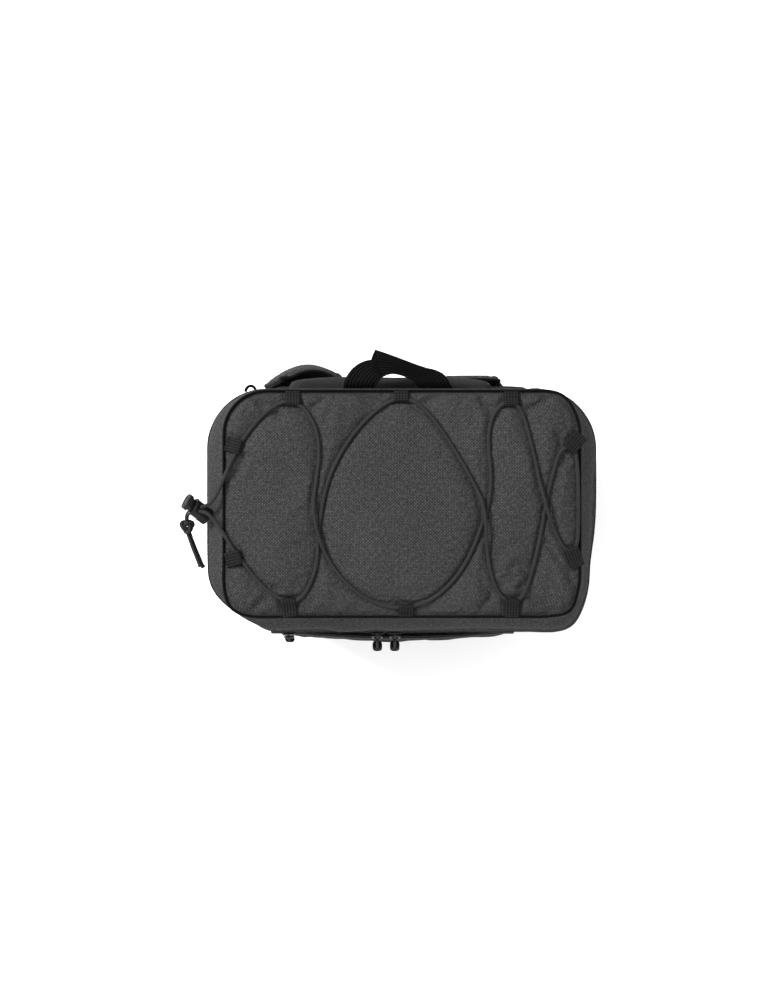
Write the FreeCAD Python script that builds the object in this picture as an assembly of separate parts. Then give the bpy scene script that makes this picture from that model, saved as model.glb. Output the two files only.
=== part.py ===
import FreeCAD, Part
import math
import os

# A structured backpack with a zipped lid, standing upright on its base.
# Millimetres. The origin is the centre of the base on the floor, +Z is up and +Y is the back,
# which carries the shoulder straps. Left (-X) and right (+X) are as seen from the front.

V = FreeCAD.Vector
X_AXIS = V(1, 0, 0)
Y_AXIS = V(0, 1, 0)
ORIGIN = V(0, 0, 0)
CLEAR = 0.2
FAR = 400.0

# Body: nested rounded boxes, each named by how far it lies inside the outer fabric
HALF_WIDTH = 174.0
HALF_DEPTH = 108.0
CORNER = 52.0
SHELL_WALL = 2.0
FOAM_WALL = 7.0
LINING_WALL = 1.0
SHELL_TOP = 374.0
FOAM_TOP = 372.0
BASE_PANEL_TOP = 3.0
BASE_PANEL_INSET = 4.0
BASE_BOARD_INSET = 2.5
BOARD_LOW = 3.2
BOARD_TOP = 8.0
BAND_TOP = 60.0
BAND_WALL = 1.2

# Lid zipper: a U of tape and coil that stops short of the hinge at the back
ZIP_Z = 379.7
ZIP_BACK = 97.0
COIL_WIDTH = 1.7
COIL_HALF_DEPTH = 1.3
COIL_SPACE = 1.6
COIL_PLANE = 0.7
TAPE_THICKNESS = 0.8
TAPE_GAP = 0.1
TAPE_BODY_LOW = 366.0
TAPE_LID_TOP = 392.0
HINGE_STRIP_FRONT = 98.0
STANDING_LOOP = V(-137.0, 108.0, 369.0)
STANDING_LOOP_FACE = 108.5
STANDING_LOOP_RADII = (3.0, 6.5)
FOLDED_LOOP = V(122.0, 109.2, 360.0)
FOLDED_LOOP_RADII = (2.6, 5.5)
LOOP_THICKNESS = 1.6

# Lid: outer sections as (z, half width, front, back, corner)
LID_SECTIONS = [(384.0, 174.0, -108.0, 108.0, 52.0),
                (405.0, 173.0, -107.5, 107.8, 50.0),
                (424.0, 156.0, -92.5, 104.7, 37.0)]
LID_WALL = 2.0
LID_PANEL_INSET = 1.0
LID_FOAM_INSET = 3.0
LID_SKIN = 2.3
LID_LINING_RISE = 2.0
LID_FOAM_LOW = 416.0
LID_FOAM_TOP = 424.0
LID_PANEL_LOW = 424.2
LID_PANEL_TOP = 425.7
PIPING_RADIUS = 1.7
PIPING_Z = 426.0
PIPING_OUTSET = 1.2

# Bungee cord and the ten webbing tabs that it runs through
CORD_RADIUS = 1.65
CORD_Z = 428.7
CORD_OVER = CORD_Z + 4.8
TAB_WIDTH = 13.0
TAB_LOOP_RADIUS = 2.95
TAB_LOOP_BORE = 2.05
TAB_TAIL = 2.2
TABS = {
    "tab_rear_left": ((-96.2, 104.0), (-96.2, 96.8)),
    "tab_rear_centre": ((-0.7, 104.3), (-0.7, 98.6)),
    "tab_rear_right": ((96.3, 103.8), (96.3, 95.5)),
    "tab_front_left": ((-98.7, -92.0), (-100.2, -79.8)),
    "tab_front_centre": ((3.8, -91.8), (3.8, -85.0)),
    "tab_front_right": ((96.8, -92.0), (96.8, -81.0)),
    "tab_left_rear": ((-153.7, 59.0), (-144.0, 56.3)),
    "tab_left_front": ((-153.7, -43.5), (-143.9, -40.8)),
    "tab_right_rear": ((157.3, 65.6), (148.8, 56.2)),
    "tab_right_front": ((154.6, -48.0), (149.3, -35.0)),
}

# Cord lock: centre, the way its button faces and the way the two strands leave it
LOCK_CENTRE = V(-180.7, 1.0, 418.0)
LOCK_BUTTON_WAY = V(-0.68, 0.54, 0.49)
LOCK_CORD_WAY = V(-0.61, -0.06, -0.79)
LOCK_HALF_WIDTH = 7.75
LOCK_HALF_DEPTH = 4.75
LOCK_WALL = 1.45
LOCK_LOW = -12.0
LOCK_TOP = 6.0
LOCK_SLOT_HALF_WIDTH = 4.2
LOCK_SLOT_HALF_HEIGHT = 2.1
LOCK_TRAVEL = 4.0
LOCK_STEM_LOW = -4.0
LOCK_STEM_GAP = 0.4
LOCK_CAP_INSET = 0.35
LOCK_SWEEP = 8.0
LOCK_ROUNDING = 0.05
SPRING_PITCH = 1.1
SPRING_HEIGHT = 5.5
SPRING_RADIUS = 2.4
SPRING_WIRE = 0.35
KNOT_CENTRE = V(-192.2, -14.0, 395.0)
KNOT_RADIUS = 6.2

# Sliders and pulls
LID_SLIDER_LEFT_X = -22.0
LID_SLIDER_RIGHT_X = -6.0
SLIDER_HALF_LENGTH = 6.0
SLIDER_HALF_WIDTH = 4.0
SLIDER_PLATE = 1.1
SLIDER_PLATE_GAP = 0.4
SLIDER_POST = (2.5, 0.6)
BAIL_HALF_WIDTH = 1.0
BAIL_REACH = 4.6
BAIL_BORE = 1.1
BAIL_RADIUS = 2.1
RING_RADIUS = 4.2
RING_WIRE = 0.8
PULL_BEND = 2.4
PULL_CORD = 1.3
PULL_OVERLAP = 4.0
GRIP_HALF_WIDTH = 4.6
GRIP_HALF_DEPTH = 3.9
GRIP_CORNER = 2.4
LID_PULL_GRIP = (-27.0, -39.7)
LID_PULL_TILT = 20.0
POCKET_PULL_GRIP = (-19.0, -29.0)
POCKET_PULL_TILT = 14.0

# Front pocket, its zipper on a sloping top
POCKET_LEFT = -123.0
POCKET_RIGHT = 107.0
POCKET_TOP = 350.0
POCKET_LOW = 90.0
POCKET_BACK = -108.3
POCKET_FRONT = -114.3
SLOPE_ANGLE = 15.0
ZIP_ALONG_SLOPE = 11.0
ZIP_STANDOFF = 1.5
POCKET_FOOT = (4.0, 2.0, 12.0)
POCKET_SEAM = 3.0
POCKET_TAPE_REACH = 9.0
GROOVE_SEAM = 4.0
GROOVE_MARGIN = 0.6
GROOVE_DEPTH = 1.5
POCKET_SLIDER_X = -104.0

# Side pockets
SIDE_POCKET_HALF = 60.0
SIDE_POCKET_DEPTH = 15.0
SIDE_POCKET_LOW = 60.6
SIDE_POCKET_TOP = 205.0
SIDE_POCKET_WALL = 1.2
SIDE_POCKET_CORNER = 14.0
SIDE_POCKET_STANDOFF = 0.3
ELASTIC_LOW = SIDE_POCKET_TOP - 6.0
ELASTIC_TOP = SIDE_POCKET_TOP + 0.6
ELASTIC_GAP = 0.1

# Back: pad, yoke, handle and harness
PAD_FACE = HALF_DEPTH + CLEAR
BACK_PAD = (125.0, 105.0, 22.0, 9.8)
BACK_PAD_Z = 191.0
YOKE = (95.0, 24.75, 10.0, 10.6)
YOKE_Z = 325.25
HANDLE_X = -4.0
HANDLE_OUTER = (49.0, 37.0)
HANDLE_INNER = (22.0, 11.0)
HANDLE_THICKNESS = 2.0
HANDLE_END_X = 35.5
HANDLE_END_HALF = 12.5
HANDLE_END_LOW = 351.0
HANDLE_END_TOP = 365.5
HANDLE_HINGE = (HALF_DEPTH + 2.3, 372.0)
HARNESS_X = -10.0
STRAP_SPACING = 72.0
STRAP_HALF_WIDTH = 31.0
STRAP_THICKNESS = 9.0
STRAP_TOP = 297.0
STRAP_MIDDLE = 205.0
STRAP_LOW = 112.0
STRAP_PIVOT_Z = 300.0
STRAP_SPLAY = {"left": 11.0, "right": 6.0}
STRAP_BOW = {"left": 12.5, "right": 1.5}
STRAP_FACE = PAD_FACE + 10.4
LADDER_HEIGHT = 30.0
LADDER_DROP = 33.0
LADDER_HALF_WIDTH = 19.0
LADDER_HALF_DEPTH = 2.0
LADDER_SLOTS = [(4.0, 9.0), (12.0, 17.0), (22.0, 26.5)]
LADDER_SLOT_HALF = 13.6
STRAP_LOOP_HALF_DEPTH = 4.0
STRAP_LOOP_LOW = 22.7
STRAP_LOOP_OVERLAP = 0.5
ADJUSTER_OFFSET = 4.2
ADJUSTER_SEWN_Y = HALF_DEPTH + 5.1
ADJUSTER_SEWN_Z = (24.0, 50.0)
ADJUSTER_RUN = (3.0, 14.5, -47.0)
BASE_ANCHOR = (16.0, 1.7, 4.1, 22.0, 50.0)
WEBBING = 25.0
WEBBING_THICKNESS = 1.6

# Lacing: from the knot through the cord lock, round the lid and back
LACING = [
    (-192.7, -11.0, 396.5),
    (-193.2, -4.7, 398.6),
    (-187.8, 1.9, 407.0),
    (-172.0, 3.5, 427.6),
    (-163.7, 12.0, 430.0),
    (-156.2, 30.0, 430.0),
    (-147.7, 49.0, CORD_Z),
    (-139.7, 63.5, CORD_Z),
    (-127.7, 79.0, CORD_Z),
    (-113.7, 92.0, CORD_Z),
    (-101.7, 97.0, CORD_Z),
    (-90.2, 94.0, CORD_Z),
    (-80.7, 84.0, CORD_Z),
    (-73.7, 67.0, CORD_Z),
    (-72.7, 47.0, CORD_Z),
    (-75.7, 26.0, CORD_Z),
    (-78.0, 8.0, CORD_Z + 1.0),
    (-77.3, -6.0, CORD_OVER),
    (-72.7, -25.0, CORD_OVER),
    (-66.2, -41.0, CORD_Z),
    (-53.2, -60.0, CORD_Z),
    (-36.7, -74.5, CORD_Z),
    (-18.2, -83.0, CORD_Z),
    (-2.7, -85.5, CORD_Z),
    (11.3, -84.0, CORD_Z),
    (27.3, -77.5, CORD_Z),
    (43.3, -64.0, CORD_Z),
    (56.8, -45.5, CORD_Z),
    (66.3, -24.0, CORD_Z),
    (72.8, -6.0, CORD_Z),
    (77.8, 14.0, CORD_Z),
    (78.3, 36.0, CORD_Z),
    (75.8, 56.0, CORD_Z),
    (76.8, 75.0, CORD_Z),
    (82.3, 89.0, CORD_Z),
    (91.3, 96.0, CORD_Z),
    (101.8, 94.0, CORD_Z),
    (107.8, 82.0, CORD_Z),
    (112.8, 63.0, CORD_Z),
    (117.8, 43.0, CORD_Z),
    (120.8, 26.0, CORD_Z + 1.0),
    (123.6, 16.0, CORD_OVER),
    (129.3, -6.0, CORD_OVER),
    (134.8, -18.0, CORD_Z),
    (139.3, -28.0, CORD_Z),
    (144.8, -35.0, CORD_Z),
    (151.8, -34.5, CORD_Z),
    (154.4, -27.0, CORD_Z),
    (155.1, -12.0, CORD_Z),
    (155.2, 8.0, CORD_Z),
    (154.8, 28.0, CORD_Z),
    (153.9, 44.5, CORD_Z),
    (151.9, 53.5, CORD_Z),
    (146.1, 56.6, CORD_Z),
    (140.5, 53.6, CORD_Z),
    (136.6, 46.5, CORD_Z),
    (133.5, 35.0, CORD_Z),
    (129.3, 20.0, CORD_Z),
    (126.3, 4.0, CORD_Z),
    (123.3, -14.0, CORD_Z),
    (119.3, -34.0, CORD_Z),
    (114.3, -54.0, CORD_Z),
    (108.8, -71.0, CORD_Z),
    (101.8, -80.0, CORD_Z),
    (91.3, -79.5, CORD_Z),
    (82.8, -69.5, CORD_Z),
    (77.3, -52.0, CORD_Z),
    (74.6, -34.0, CORD_Z + 1.0),
    (74.3, -17.0, CORD_OVER),
    (71.3, 7.0, CORD_OVER),
    (64.8, 21.0, CORD_Z),
    (54.3, 40.5, CORD_Z),
    (42.3, 60.0, CORD_Z),
    (29.3, 79.0, CORD_Z),
    (15.8, 93.5, CORD_Z),
    (5.3, 98.5, CORD_Z),
    (-6.7, 98.5, CORD_Z),
    (-19.7, 91.0, CORD_Z),
    (-34.7, 77.5, CORD_Z),
    (-48.7, 59.5, CORD_Z),
    (-59.7, 40.0, CORD_Z),
    (-67.2, 20.0, CORD_Z),
    (-71.2, -1.0, CORD_Z),
    (-73.7, -20.0, CORD_Z),
    (-74.0, -40.0, CORD_Z),
    (-77.7, -58.0, CORD_Z),
    (-85.7, -74.0, CORD_Z),
    (-94.7, -80.5, CORD_Z),
    (-106.2, -78.5, CORD_Z),
    (-118.7, -70.0, CORD_Z),
    (-130.2, -58.0, CORD_Z),
    (-139.2, -46.0, CORD_Z),
    (-148.2, -35.0, CORD_Z),
    (-156.7, -20.0, 430.0),
    (-165.2, -8.0, 430.0),
    (-173.6, 0.1, 429.0),
    (-189.4, -1.5, 408.4),
    (-192.3, -6.0, 401.5),
    (-191.7, -10.0, 397.5),
]
TAILS = [
    [(-192.7, -17.5, 394.0), (-189.3, -28.5, 392.2), (-185.0, -40.5, 390.0), (-181.0, -50.5, 388.4)],
    [(-189.5, -16.9, 394.0), (-185.9, -27.4, 392.4), (-181.6, -39.0, 390.2), (-178.0, -51.5, 388.0)],
]


def box(x0, x1, y0, y1, z0, z1):
    """A plain block between two corners."""
    return Part.makeBox(x1 - x0, y1 - y0, z1 - z0, V(x0, y0, z0))


def section(z, half_width, front, back, corner):
    """A rounded rectangle at one height, as a closed wire."""
    cut = corner * (1 - math.sqrt(0.5))
    wire = []
    starts = [(-half_width, front), (half_width, front), (half_width, back), (-half_width, back)]
    ways = [(1, 1), (-1, 1), (-1, -1), (1, -1)]
    for i in range(4):
        (x, y), (wx, wy) = starts[i], ways[i]
        along_x = V(x + wx * corner, y, z)
        along_y = V(x, y + wy * corner, z)
        first, last = (along_y, along_x) if i % 2 == 0 else (along_x, along_y)
        wire.append((first, V(x + wx * cut, y + wy * cut, z), last))
    edges = []
    for i in range(4):
        first, middle, last = wire[i]
        edges.append(Part.Arc(first, middle, last).toShape())
        edges.append(Part.makeLine(last, wire[(i + 1) % 4][0]))
    return Part.Wire(edges)


def prism(wire, height):
    """A flat outline raised straight up."""
    return Part.Face(wire).extrude(V(0, 0, height))


def body_section(inset, z):
    """The body's outline, a given distance inside the outer fabric."""
    return section(z, HALF_WIDTH - inset, inset - HALF_DEPTH, HALF_DEPTH - inset, CORNER - inset)


def body_band(inset, wall, low, high):
    """A wall that follows the body's outline all the way round."""
    outer = prism(body_section(inset, low), high - low)
    return outer.cut(prism(body_section(inset + wall, low), high - low))


def front_of(shape, y):
    """The part of a shape that lies in front of a plane."""
    return shape.cut(box(-FAR, FAR, y, FAR, -FAR, 2 * FAR))


def behind(shape, y):
    """The part of a shape that lies behind a plane."""
    return shape.cut(box(-FAR, FAR, -FAR, y, -FAR, 2 * FAR))


def lid_section(z, inset):
    """The lid's outline at a height between its sections, a given distance inside."""
    low, high = (0, 1) if z <= LID_SECTIONS[1][0] else (1, 2)
    a, b = LID_SECTIONS[low], LID_SECTIONS[high]
    t = (z - a[0]) / (b[0] - a[0])
    half_width, front, back, corner = (p + t * (q - p) for p, q in zip(a[1:], b[1:]))
    return section(z, half_width - inset, front + inset, back - inset, corner - inset)


def lid_loft(heights, inset):
    """The lid's outer form between heights, a given distance inside."""
    return Part.makeLoft([lid_section(z, inset) for z in heights], True, True)


def side_profile(points, x0, x1):
    """A closed outline of (y, z) points, carried from x0 to x1."""
    corners = [V(x0, y, z) for y, z in points]
    return Part.Face(Part.makePolygon(corners + corners[:1])).extrude(V(x1 - x0, 0, 0))


def ribbon(points, thickness, x0, x1):
    """Webbing along a line of (y, z) points, with mitred bends."""
    normals = []
    for (y0, z0), (y1, z1) in zip(points, points[1:]):
        length = math.hypot(y1 - y0, z1 - z0)
        normals.append((-(z1 - z0) / length, (y1 - y0) / length))
    sides = ([], [])
    for i, (y, z) in enumerate(points):
        a = normals[max(i - 1, 0)]
        b = normals[min(i, len(normals) - 1)]
        reach = thickness / 2 / (1 + a[0] * b[0] + a[1] * b[1])
        offset = ((a[0] + b[0]) * reach, (a[1] + b[1]) * reach)
        sides[0].append((y + offset[0], z + offset[1]))
        sides[1].append((y - offset[0], z - offset[1]))
    return side_profile(sides[0] + sides[1][::-1], x0, x1)


def tangent_path(points):
    """Straight runs joined by tangent arcs, and the arcs' radii."""
    points = [V(*p) for p in points]
    edges = []
    radii = []
    start = points[0]
    for before, corner, after in zip(points, points[1:], points[2:]):
        back = before - corner
        ahead = after - corner
        short = min(back.Length, ahead.Length)
        half_turn = (math.pi - back.getAngle(ahead)) / 2
        reach = 0.45 * short
        radius = reach / math.tan(half_turn)
        back.normalize()
        ahead.normalize()
        inward = back + ahead
        inward.normalize()
        middle = corner + inward * (radius / math.cos(half_turn) - radius)
        first = corner + back * reach
        last = corner + ahead * reach
        edges.append(Part.makeLine(start, first))
        edges.append(Part.Arc(first, middle, last).toShape())
        radii.append(radius)
        start = last
    edges.append(Part.makeLine(start, points[-1]))
    return Part.Wire(edges), radii


def round_tube(path, radius):
    """A solid rod of round section swept along a wire."""
    first = path.Edges[0]
    start = first.valueAt(first.FirstParameter)
    way = first.tangentAt(first.FirstParameter)
    profile = Part.Wire([Part.makeCircle(radius, start, way)])
    return path.makePipe(Part.Face(profile))


def cord_tube(name, points):
    """A round cord along a route; prints its radii and checks its volume."""
    path, radii = tangent_path(points)
    tube = round_tube(path, CORD_RADIUS)
    expected = math.pi * CORD_RADIUS ** 2 * path.Length
    print(name, "length", round(path.Length, 1), "volume ratio", round(tube.Volume / expected, 4))
    print("  radii", " ".join(str(round(r, 1)) for r in radii))
    return tube


def make_body():
    """The standing box of the pack, from its outer fabric to its lining."""
    foam_inset = SHELL_WALL + CLEAR
    lining_inset = foam_inset + FOAM_WALL + CLEAR
    lining_low = BOARD_TOP + CLEAR
    lining = prism(body_section(lining_inset, lining_low), SHELL_TOP - lining_low)
    hollow_low = lining_low + LINING_WALL
    hollow = prism(body_section(lining_inset + LINING_WALL, hollow_low), SHELL_TOP - hollow_low)
    return {
        "base_panel": prism(body_section(BASE_PANEL_INSET, 0.0), BASE_PANEL_TOP),
        "base_board": prism(body_section(BASE_BOARD_INSET, BOARD_LOW), BOARD_TOP - BOARD_LOW),
        "base_band": body_band(-BAND_WALL - CLEAR, BAND_WALL, BOARD_LOW, BAND_TOP),
        "outer_shell": body_band(0.0, SHELL_WALL, BOARD_LOW, SHELL_TOP),
        "foam_liner": body_band(foam_inset, FOAM_WALL, lining_low, FOAM_TOP),
        "inner_lining": lining.cut(hollow),
    }


def make_lid_zipper():
    """Tape and coil on both sides of the lid's opening, the end loops and the cloth hinge."""
    space = COIL_SPACE / 2
    coil = space + COIL_WIDTH
    coil_inset = -COIL_PLANE - COIL_HALF_DEPTH
    tape_inset = -TAPE_GAP - TAPE_THICKNESS

    def tape(low, high):
        return front_of(body_band(tape_inset, TAPE_THICKNESS, low, high), ZIP_BACK)

    def teeth(low, high):
        return front_of(body_band(coil_inset, 2 * COIL_HALF_DEPTH, low, high), ZIP_BACK)

    def flat_loop(at, radii, way):
        inner, outer = radii
        loop = Part.makeCylinder(outer, LOOP_THICKNESS, at, way)
        return loop.cut(Part.makeCylinder(inner, LOOP_THICKNESS, at, way))

    standing = behind(flat_loop(STANDING_LOOP, STANDING_LOOP_RADII, V(0, 0, 1)), STANDING_LOOP_FACE)
    folded = flat_loop(FOLDED_LOOP, FOLDED_LOOP_RADII, Y_AXIS)
    strip = body_band(tape_inset, TAPE_THICKNESS, TAPE_BODY_LOW, TAPE_LID_TOP)
    return {
        "zipper_tape_body": tape(TAPE_BODY_LOW, ZIP_Z - coil),
        "zipper_coil_body": teeth(ZIP_Z - coil, ZIP_Z - space),
        "zipper_coil_lid": teeth(ZIP_Z + space, ZIP_Z + coil),
        "zipper_tape_lid": tape(ZIP_Z + coil, TAPE_LID_TOP),
        "zipper_end_loops": Part.makeCompound([standing, folded]),
        "rear_hinge_strip": behind(strip, HINGE_STRIP_FRONT),
    }


def top_seam():
    """The line of the lid's top seam."""
    _, half_width, front, back, corner = LID_SECTIONS[2]
    rim = PIPING_OUTSET
    return section(PIPING_Z, half_width + rim, front - rim, back + rim, corner + rim)


def make_lid():
    """The lid's fabric, foam and lining, with the piping round its top seam."""
    low, waist, top = (s[0] for s in LID_SECTIONS)
    gusset = lid_loft([low, waist, top], 0.0).cut(lid_loft([low, waist, top], LID_WALL))
    _, half_width, front, back, corner = LID_SECTIONS[2]

    def top_outline(z, inset):
        return section(z, half_width - inset, front + inset, back - inset, corner - inset)

    panel = top_outline(LID_PANEL_LOW, LID_PANEL_INSET)
    foam = top_outline(LID_FOAM_LOW, LID_FOAM_INSET)
    ceiling = LID_FOAM_LOW - CLEAR
    lining = lid_loft([low + LID_LINING_RISE, waist, ceiling], LID_SKIN)
    lining = lining.cut(lid_loft([low, waist, ceiling - LINING_WALL], LID_SKIN + LINING_WALL))
    return {
        "lid_gusset": gusset,
        "lid_top_panel": prism(panel, LID_PANEL_TOP - LID_PANEL_LOW),
        "lid_foam": prism(foam, LID_FOAM_TOP - LID_FOAM_LOW),
        "lid_lining": lining,
        "lid_piping": round_tube(top_seam(), PIPING_RADIUS),
    }


def make_tab(root, hold):
    """A webbing tab folded round the cord, sewn into the lid's seam at its root."""
    root = V(root[0], root[1], CORD_Z)
    hold = V(hold[0], hold[1], CORD_Z)
    length = (hold - root).Length
    half = TAB_WIDTH / 2
    low = -TAB_LOOP_RADIUS
    tail = box(0, length, -half, half, low, low + TAB_TAIL)
    loop = Part.makeCylinder(TAB_LOOP_RADIUS, TAB_WIDTH, V(length, -half, 0), Y_AXIS)
    bore = Part.makeCylinder(TAB_LOOP_BORE, TAB_WIDTH, V(length, -half, 0), Y_AXIS)
    tab = tail.fuse(loop).cut(bore)
    turn = math.degrees(math.atan2(hold.y - root.y, hold.x - root.x))
    tab.Placement = FreeCAD.Placement(root, FreeCAD.Rotation(V(0, 0, 1), turn))
    return tab


def lock_placement():
    """The cord lock's own frame: Z out of its button, Y along the strands."""
    z = V(LOCK_BUTTON_WAY)
    z.normalize()
    x = LOCK_CORD_WAY.cross(z)
    x.normalize()
    y = z.cross(x)
    return FreeCAD.Placement(LOCK_CENTRE, FreeCAD.Rotation(x, y, z, "ZYX"))


def oval(half_width, half_depth, low, high):
    """An oval post along Z."""
    return prism(section(low, half_width, -half_depth, half_depth, half_depth - LOCK_ROUNDING), high - low)


def make_cord_lock():
    """A sprung cord lock: barrel, button with its slotted stem, and spring."""
    slot = box(-LOCK_SLOT_HALF_WIDTH, LOCK_SLOT_HALF_WIDTH, -LOCK_SWEEP, LOCK_SWEEP,
               -LOCK_SLOT_HALF_HEIGHT, LOCK_SLOT_HALF_HEIGHT)
    floor = LOCK_LOW + LOCK_WALL
    barrel = oval(LOCK_HALF_WIDTH, LOCK_HALF_DEPTH, LOCK_LOW, LOCK_TOP)
    barrel = barrel.cut(oval(LOCK_HALF_WIDTH - LOCK_WALL, LOCK_HALF_DEPTH - LOCK_WALL, floor, LOCK_TOP))
    barrel = barrel.cut(slot)
    cap_low = LOCK_TOP + LOCK_TRAVEL + CLEAR
    cap_width, cap_depth = LOCK_HALF_WIDTH - LOCK_CAP_INSET, LOCK_HALF_DEPTH - LOCK_CAP_INSET
    cap = oval(cap_width, cap_depth, cap_low, cap_low + LOCK_TRAVEL)
    stem_inset = LOCK_WALL + LOCK_STEM_GAP
    stem = oval(LOCK_HALF_WIDTH - stem_inset, LOCK_HALF_DEPTH - stem_inset, LOCK_STEM_LOW, cap_low)
    reach = LOCK_SLOT_HALF_HEIGHT + CLEAR
    window = box(-LOCK_SLOT_HALF_WIDTH, LOCK_SLOT_HALF_WIDTH, -LOCK_SWEEP, LOCK_SWEEP,
                 -reach, LOCK_TRAVEL + reach)
    helix = Part.Wire(Part.makeHelix(SPRING_PITCH, SPRING_HEIGHT, SPRING_RADIUS))
    wire = Part.Wire([Part.makeCircle(SPRING_WIRE, V(SPRING_RADIUS, 0, 0), Y_AXIS)])
    spring = helix.makePipeShell([wire], True, True)
    spring.translate(V(0, 0, floor + LOCK_STEM_GAP + SPRING_WIRE))
    pieces = {
        "cord_lock_barrel": barrel,
        "cord_lock_button": cap.fuse(stem.cut(window)),
        "cord_lock_spring": spring,
    }
    for piece in pieces.values():
        piece.Placement = lock_placement().multiply(piece.Placement)
    return pieces


def make_slider():
    """A zipper slider about the middle of its coil, with its bail towards -Y."""
    length, width = SLIDER_HALF_LENGTH, SLIDER_HALF_WIDTH
    inner = COIL_HALF_DEPTH + SLIDER_PLATE_GAP
    outer = inner + SLIDER_PLATE
    post_length, post_width = SLIDER_POST
    front = box(-length, length, -outer, -inner, -width, width)
    back = box(-length, length, inner, outer, -width, width)
    post = box(-post_length, post_length, -inner, inner, -post_width, post_width)
    eye = V(-BAIL_HALF_WIDTH, -BAIL_REACH, 0)
    bail = Part.makeCylinder(BAIL_RADIUS, 2 * BAIL_HALF_WIDTH, eye, X_AXIS)
    neck = box(-BAIL_HALF_WIDTH, BAIL_HALF_WIDTH, -BAIL_REACH, -outer, -BAIL_RADIUS, BAIL_RADIUS)
    bail = bail.fuse(neck).cut(Part.makeCylinder(BAIL_BORE, 2 * BAIL_HALF_WIDTH, eye, X_AXIS))
    return front.fuse([back, post, bail])


def make_pull(grip_top, grip_end):
    """A wire ring and a cord puller that hang from the origin along -Z."""
    ring = Part.makeTorus(RING_RADIUS, RING_WIRE, V(0, 0, -RING_RADIUS), Y_AXIS)
    low = -2 * RING_RADIUS
    bend = PULL_BEND
    path = Part.Wire([
        Part.makeLine(V(0, -bend, grip_top - PULL_OVERLAP), V(0, -bend, low)),
        Part.Arc(V(0, -bend, low), V(0, 0, low + bend), V(0, bend, low)).toShape(),
        Part.makeLine(V(0, bend, low), V(0, bend, grip_top - PULL_OVERLAP)),
    ])
    outline = section(grip_end, GRIP_HALF_WIDTH, -GRIP_HALF_DEPTH, GRIP_HALF_DEPTH, GRIP_CORNER)
    grip = prism(outline, grip_top - grip_end)
    return ring, round_tube(path, PULL_CORD).fuse(grip)


def place_zipper_pull(names, place, slope, tilt, grip):
    """A slider, its ring and its puller on a zipper that leans back by slope degrees."""
    x, y, z = place
    slider = make_slider()
    slider.rotate(ORIGIN, X_AXIS, -slope)
    slider.translate(V(x, y, z))
    lean = math.radians(slope)
    pivot = V(x, y - BAIL_REACH * math.cos(lean), z + BAIL_REACH * math.sin(lean))
    pieces = {names[0]: slider}
    for name, piece in zip(names[1:], make_pull(*grip)):
        piece.rotate(ORIGIN, X_AXIS, -tilt)
        piece.translate(pivot)
        pieces[name] = piece
    return pieces


def make_front_pocket():
    """The zipped front pocket, with its zipper along the sloping top edge."""
    run = POCKET_BACK - POCKET_FRONT
    lean = math.radians(SLOPE_ANGLE)
    slope_length = run / math.sin(lean)
    foot_in, foot_rise, foot_top = POCKET_FOOT
    profile = [(POCKET_BACK, POCKET_TOP),
               (POCKET_FRONT, POCKET_TOP - slope_length * math.cos(lean)),
               (POCKET_FRONT, POCKET_LOW + foot_top),
               (POCKET_FRONT + foot_in, POCKET_LOW + foot_rise),
               (POCKET_BACK, POCKET_LOW)]

    def on_slope(x0, x1, s0, s1, low, high):
        bar = box(x0, x1, -high, -low, -s1, -s0)
        bar.rotate(ORIGIN, X_AXIS, -SLOPE_ANGLE)
        bar.translate(V(0, POCKET_BACK, POCKET_TOP))
        return bar

    def pair(low, high, near, far):
        middle = ZIP_ALONG_SLOPE
        left, right = POCKET_LEFT + POCKET_SEAM, POCKET_RIGHT - POCKET_SEAM
        upper = on_slope(left, right, middle - far, middle - near, low, high)
        lower = on_slope(left, right, middle + near, middle + far, low, high)
        return Part.makeCompound([upper, lower])

    space = COIL_SPACE / 2
    coil = space + COIL_WIDTH
    half_tape = TAPE_THICKNESS / 2
    pocket = side_profile(profile, POCKET_LEFT, POCKET_RIGHT)
    half_groove = SLIDER_HALF_WIDTH + GROOVE_MARGIN
    near, far = ZIP_ALONG_SLOPE - half_groove, ZIP_ALONG_SLOPE + half_groove
    left, right = POCKET_LEFT + GROOVE_SEAM, POCKET_RIGHT - GROOVE_SEAM
    groove = on_slope(left, right, near, far, -GROOVE_DEPTH, 1)
    slope_y = POCKET_BACK - ZIP_ALONG_SLOPE * math.sin(lean) - ZIP_STANDOFF * math.cos(lean)
    slope_z = POCKET_TOP - ZIP_ALONG_SLOPE * math.cos(lean) + ZIP_STANDOFF * math.sin(lean)
    pieces = {
        "front_pocket": pocket.cut(groove),
        "pocket_zipper_tape": pair(ZIP_STANDOFF - half_tape, ZIP_STANDOFF + half_tape, coil,
                                   POCKET_TAPE_REACH),
        "pocket_zipper_coil": pair(ZIP_STANDOFF - COIL_HALF_DEPTH, ZIP_STANDOFF + COIL_HALF_DEPTH, space,
                                   coil),
    }
    names = ("pocket_slider", "pocket_pull_ring", "pocket_pull_cord")
    place = (POCKET_SLIDER_X, slope_y, slope_z)
    pieces.update(place_zipper_pull(names, place, SLOPE_ANGLE, POCKET_PULL_TILT, POCKET_PULL_GRIP))
    return pieces


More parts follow.
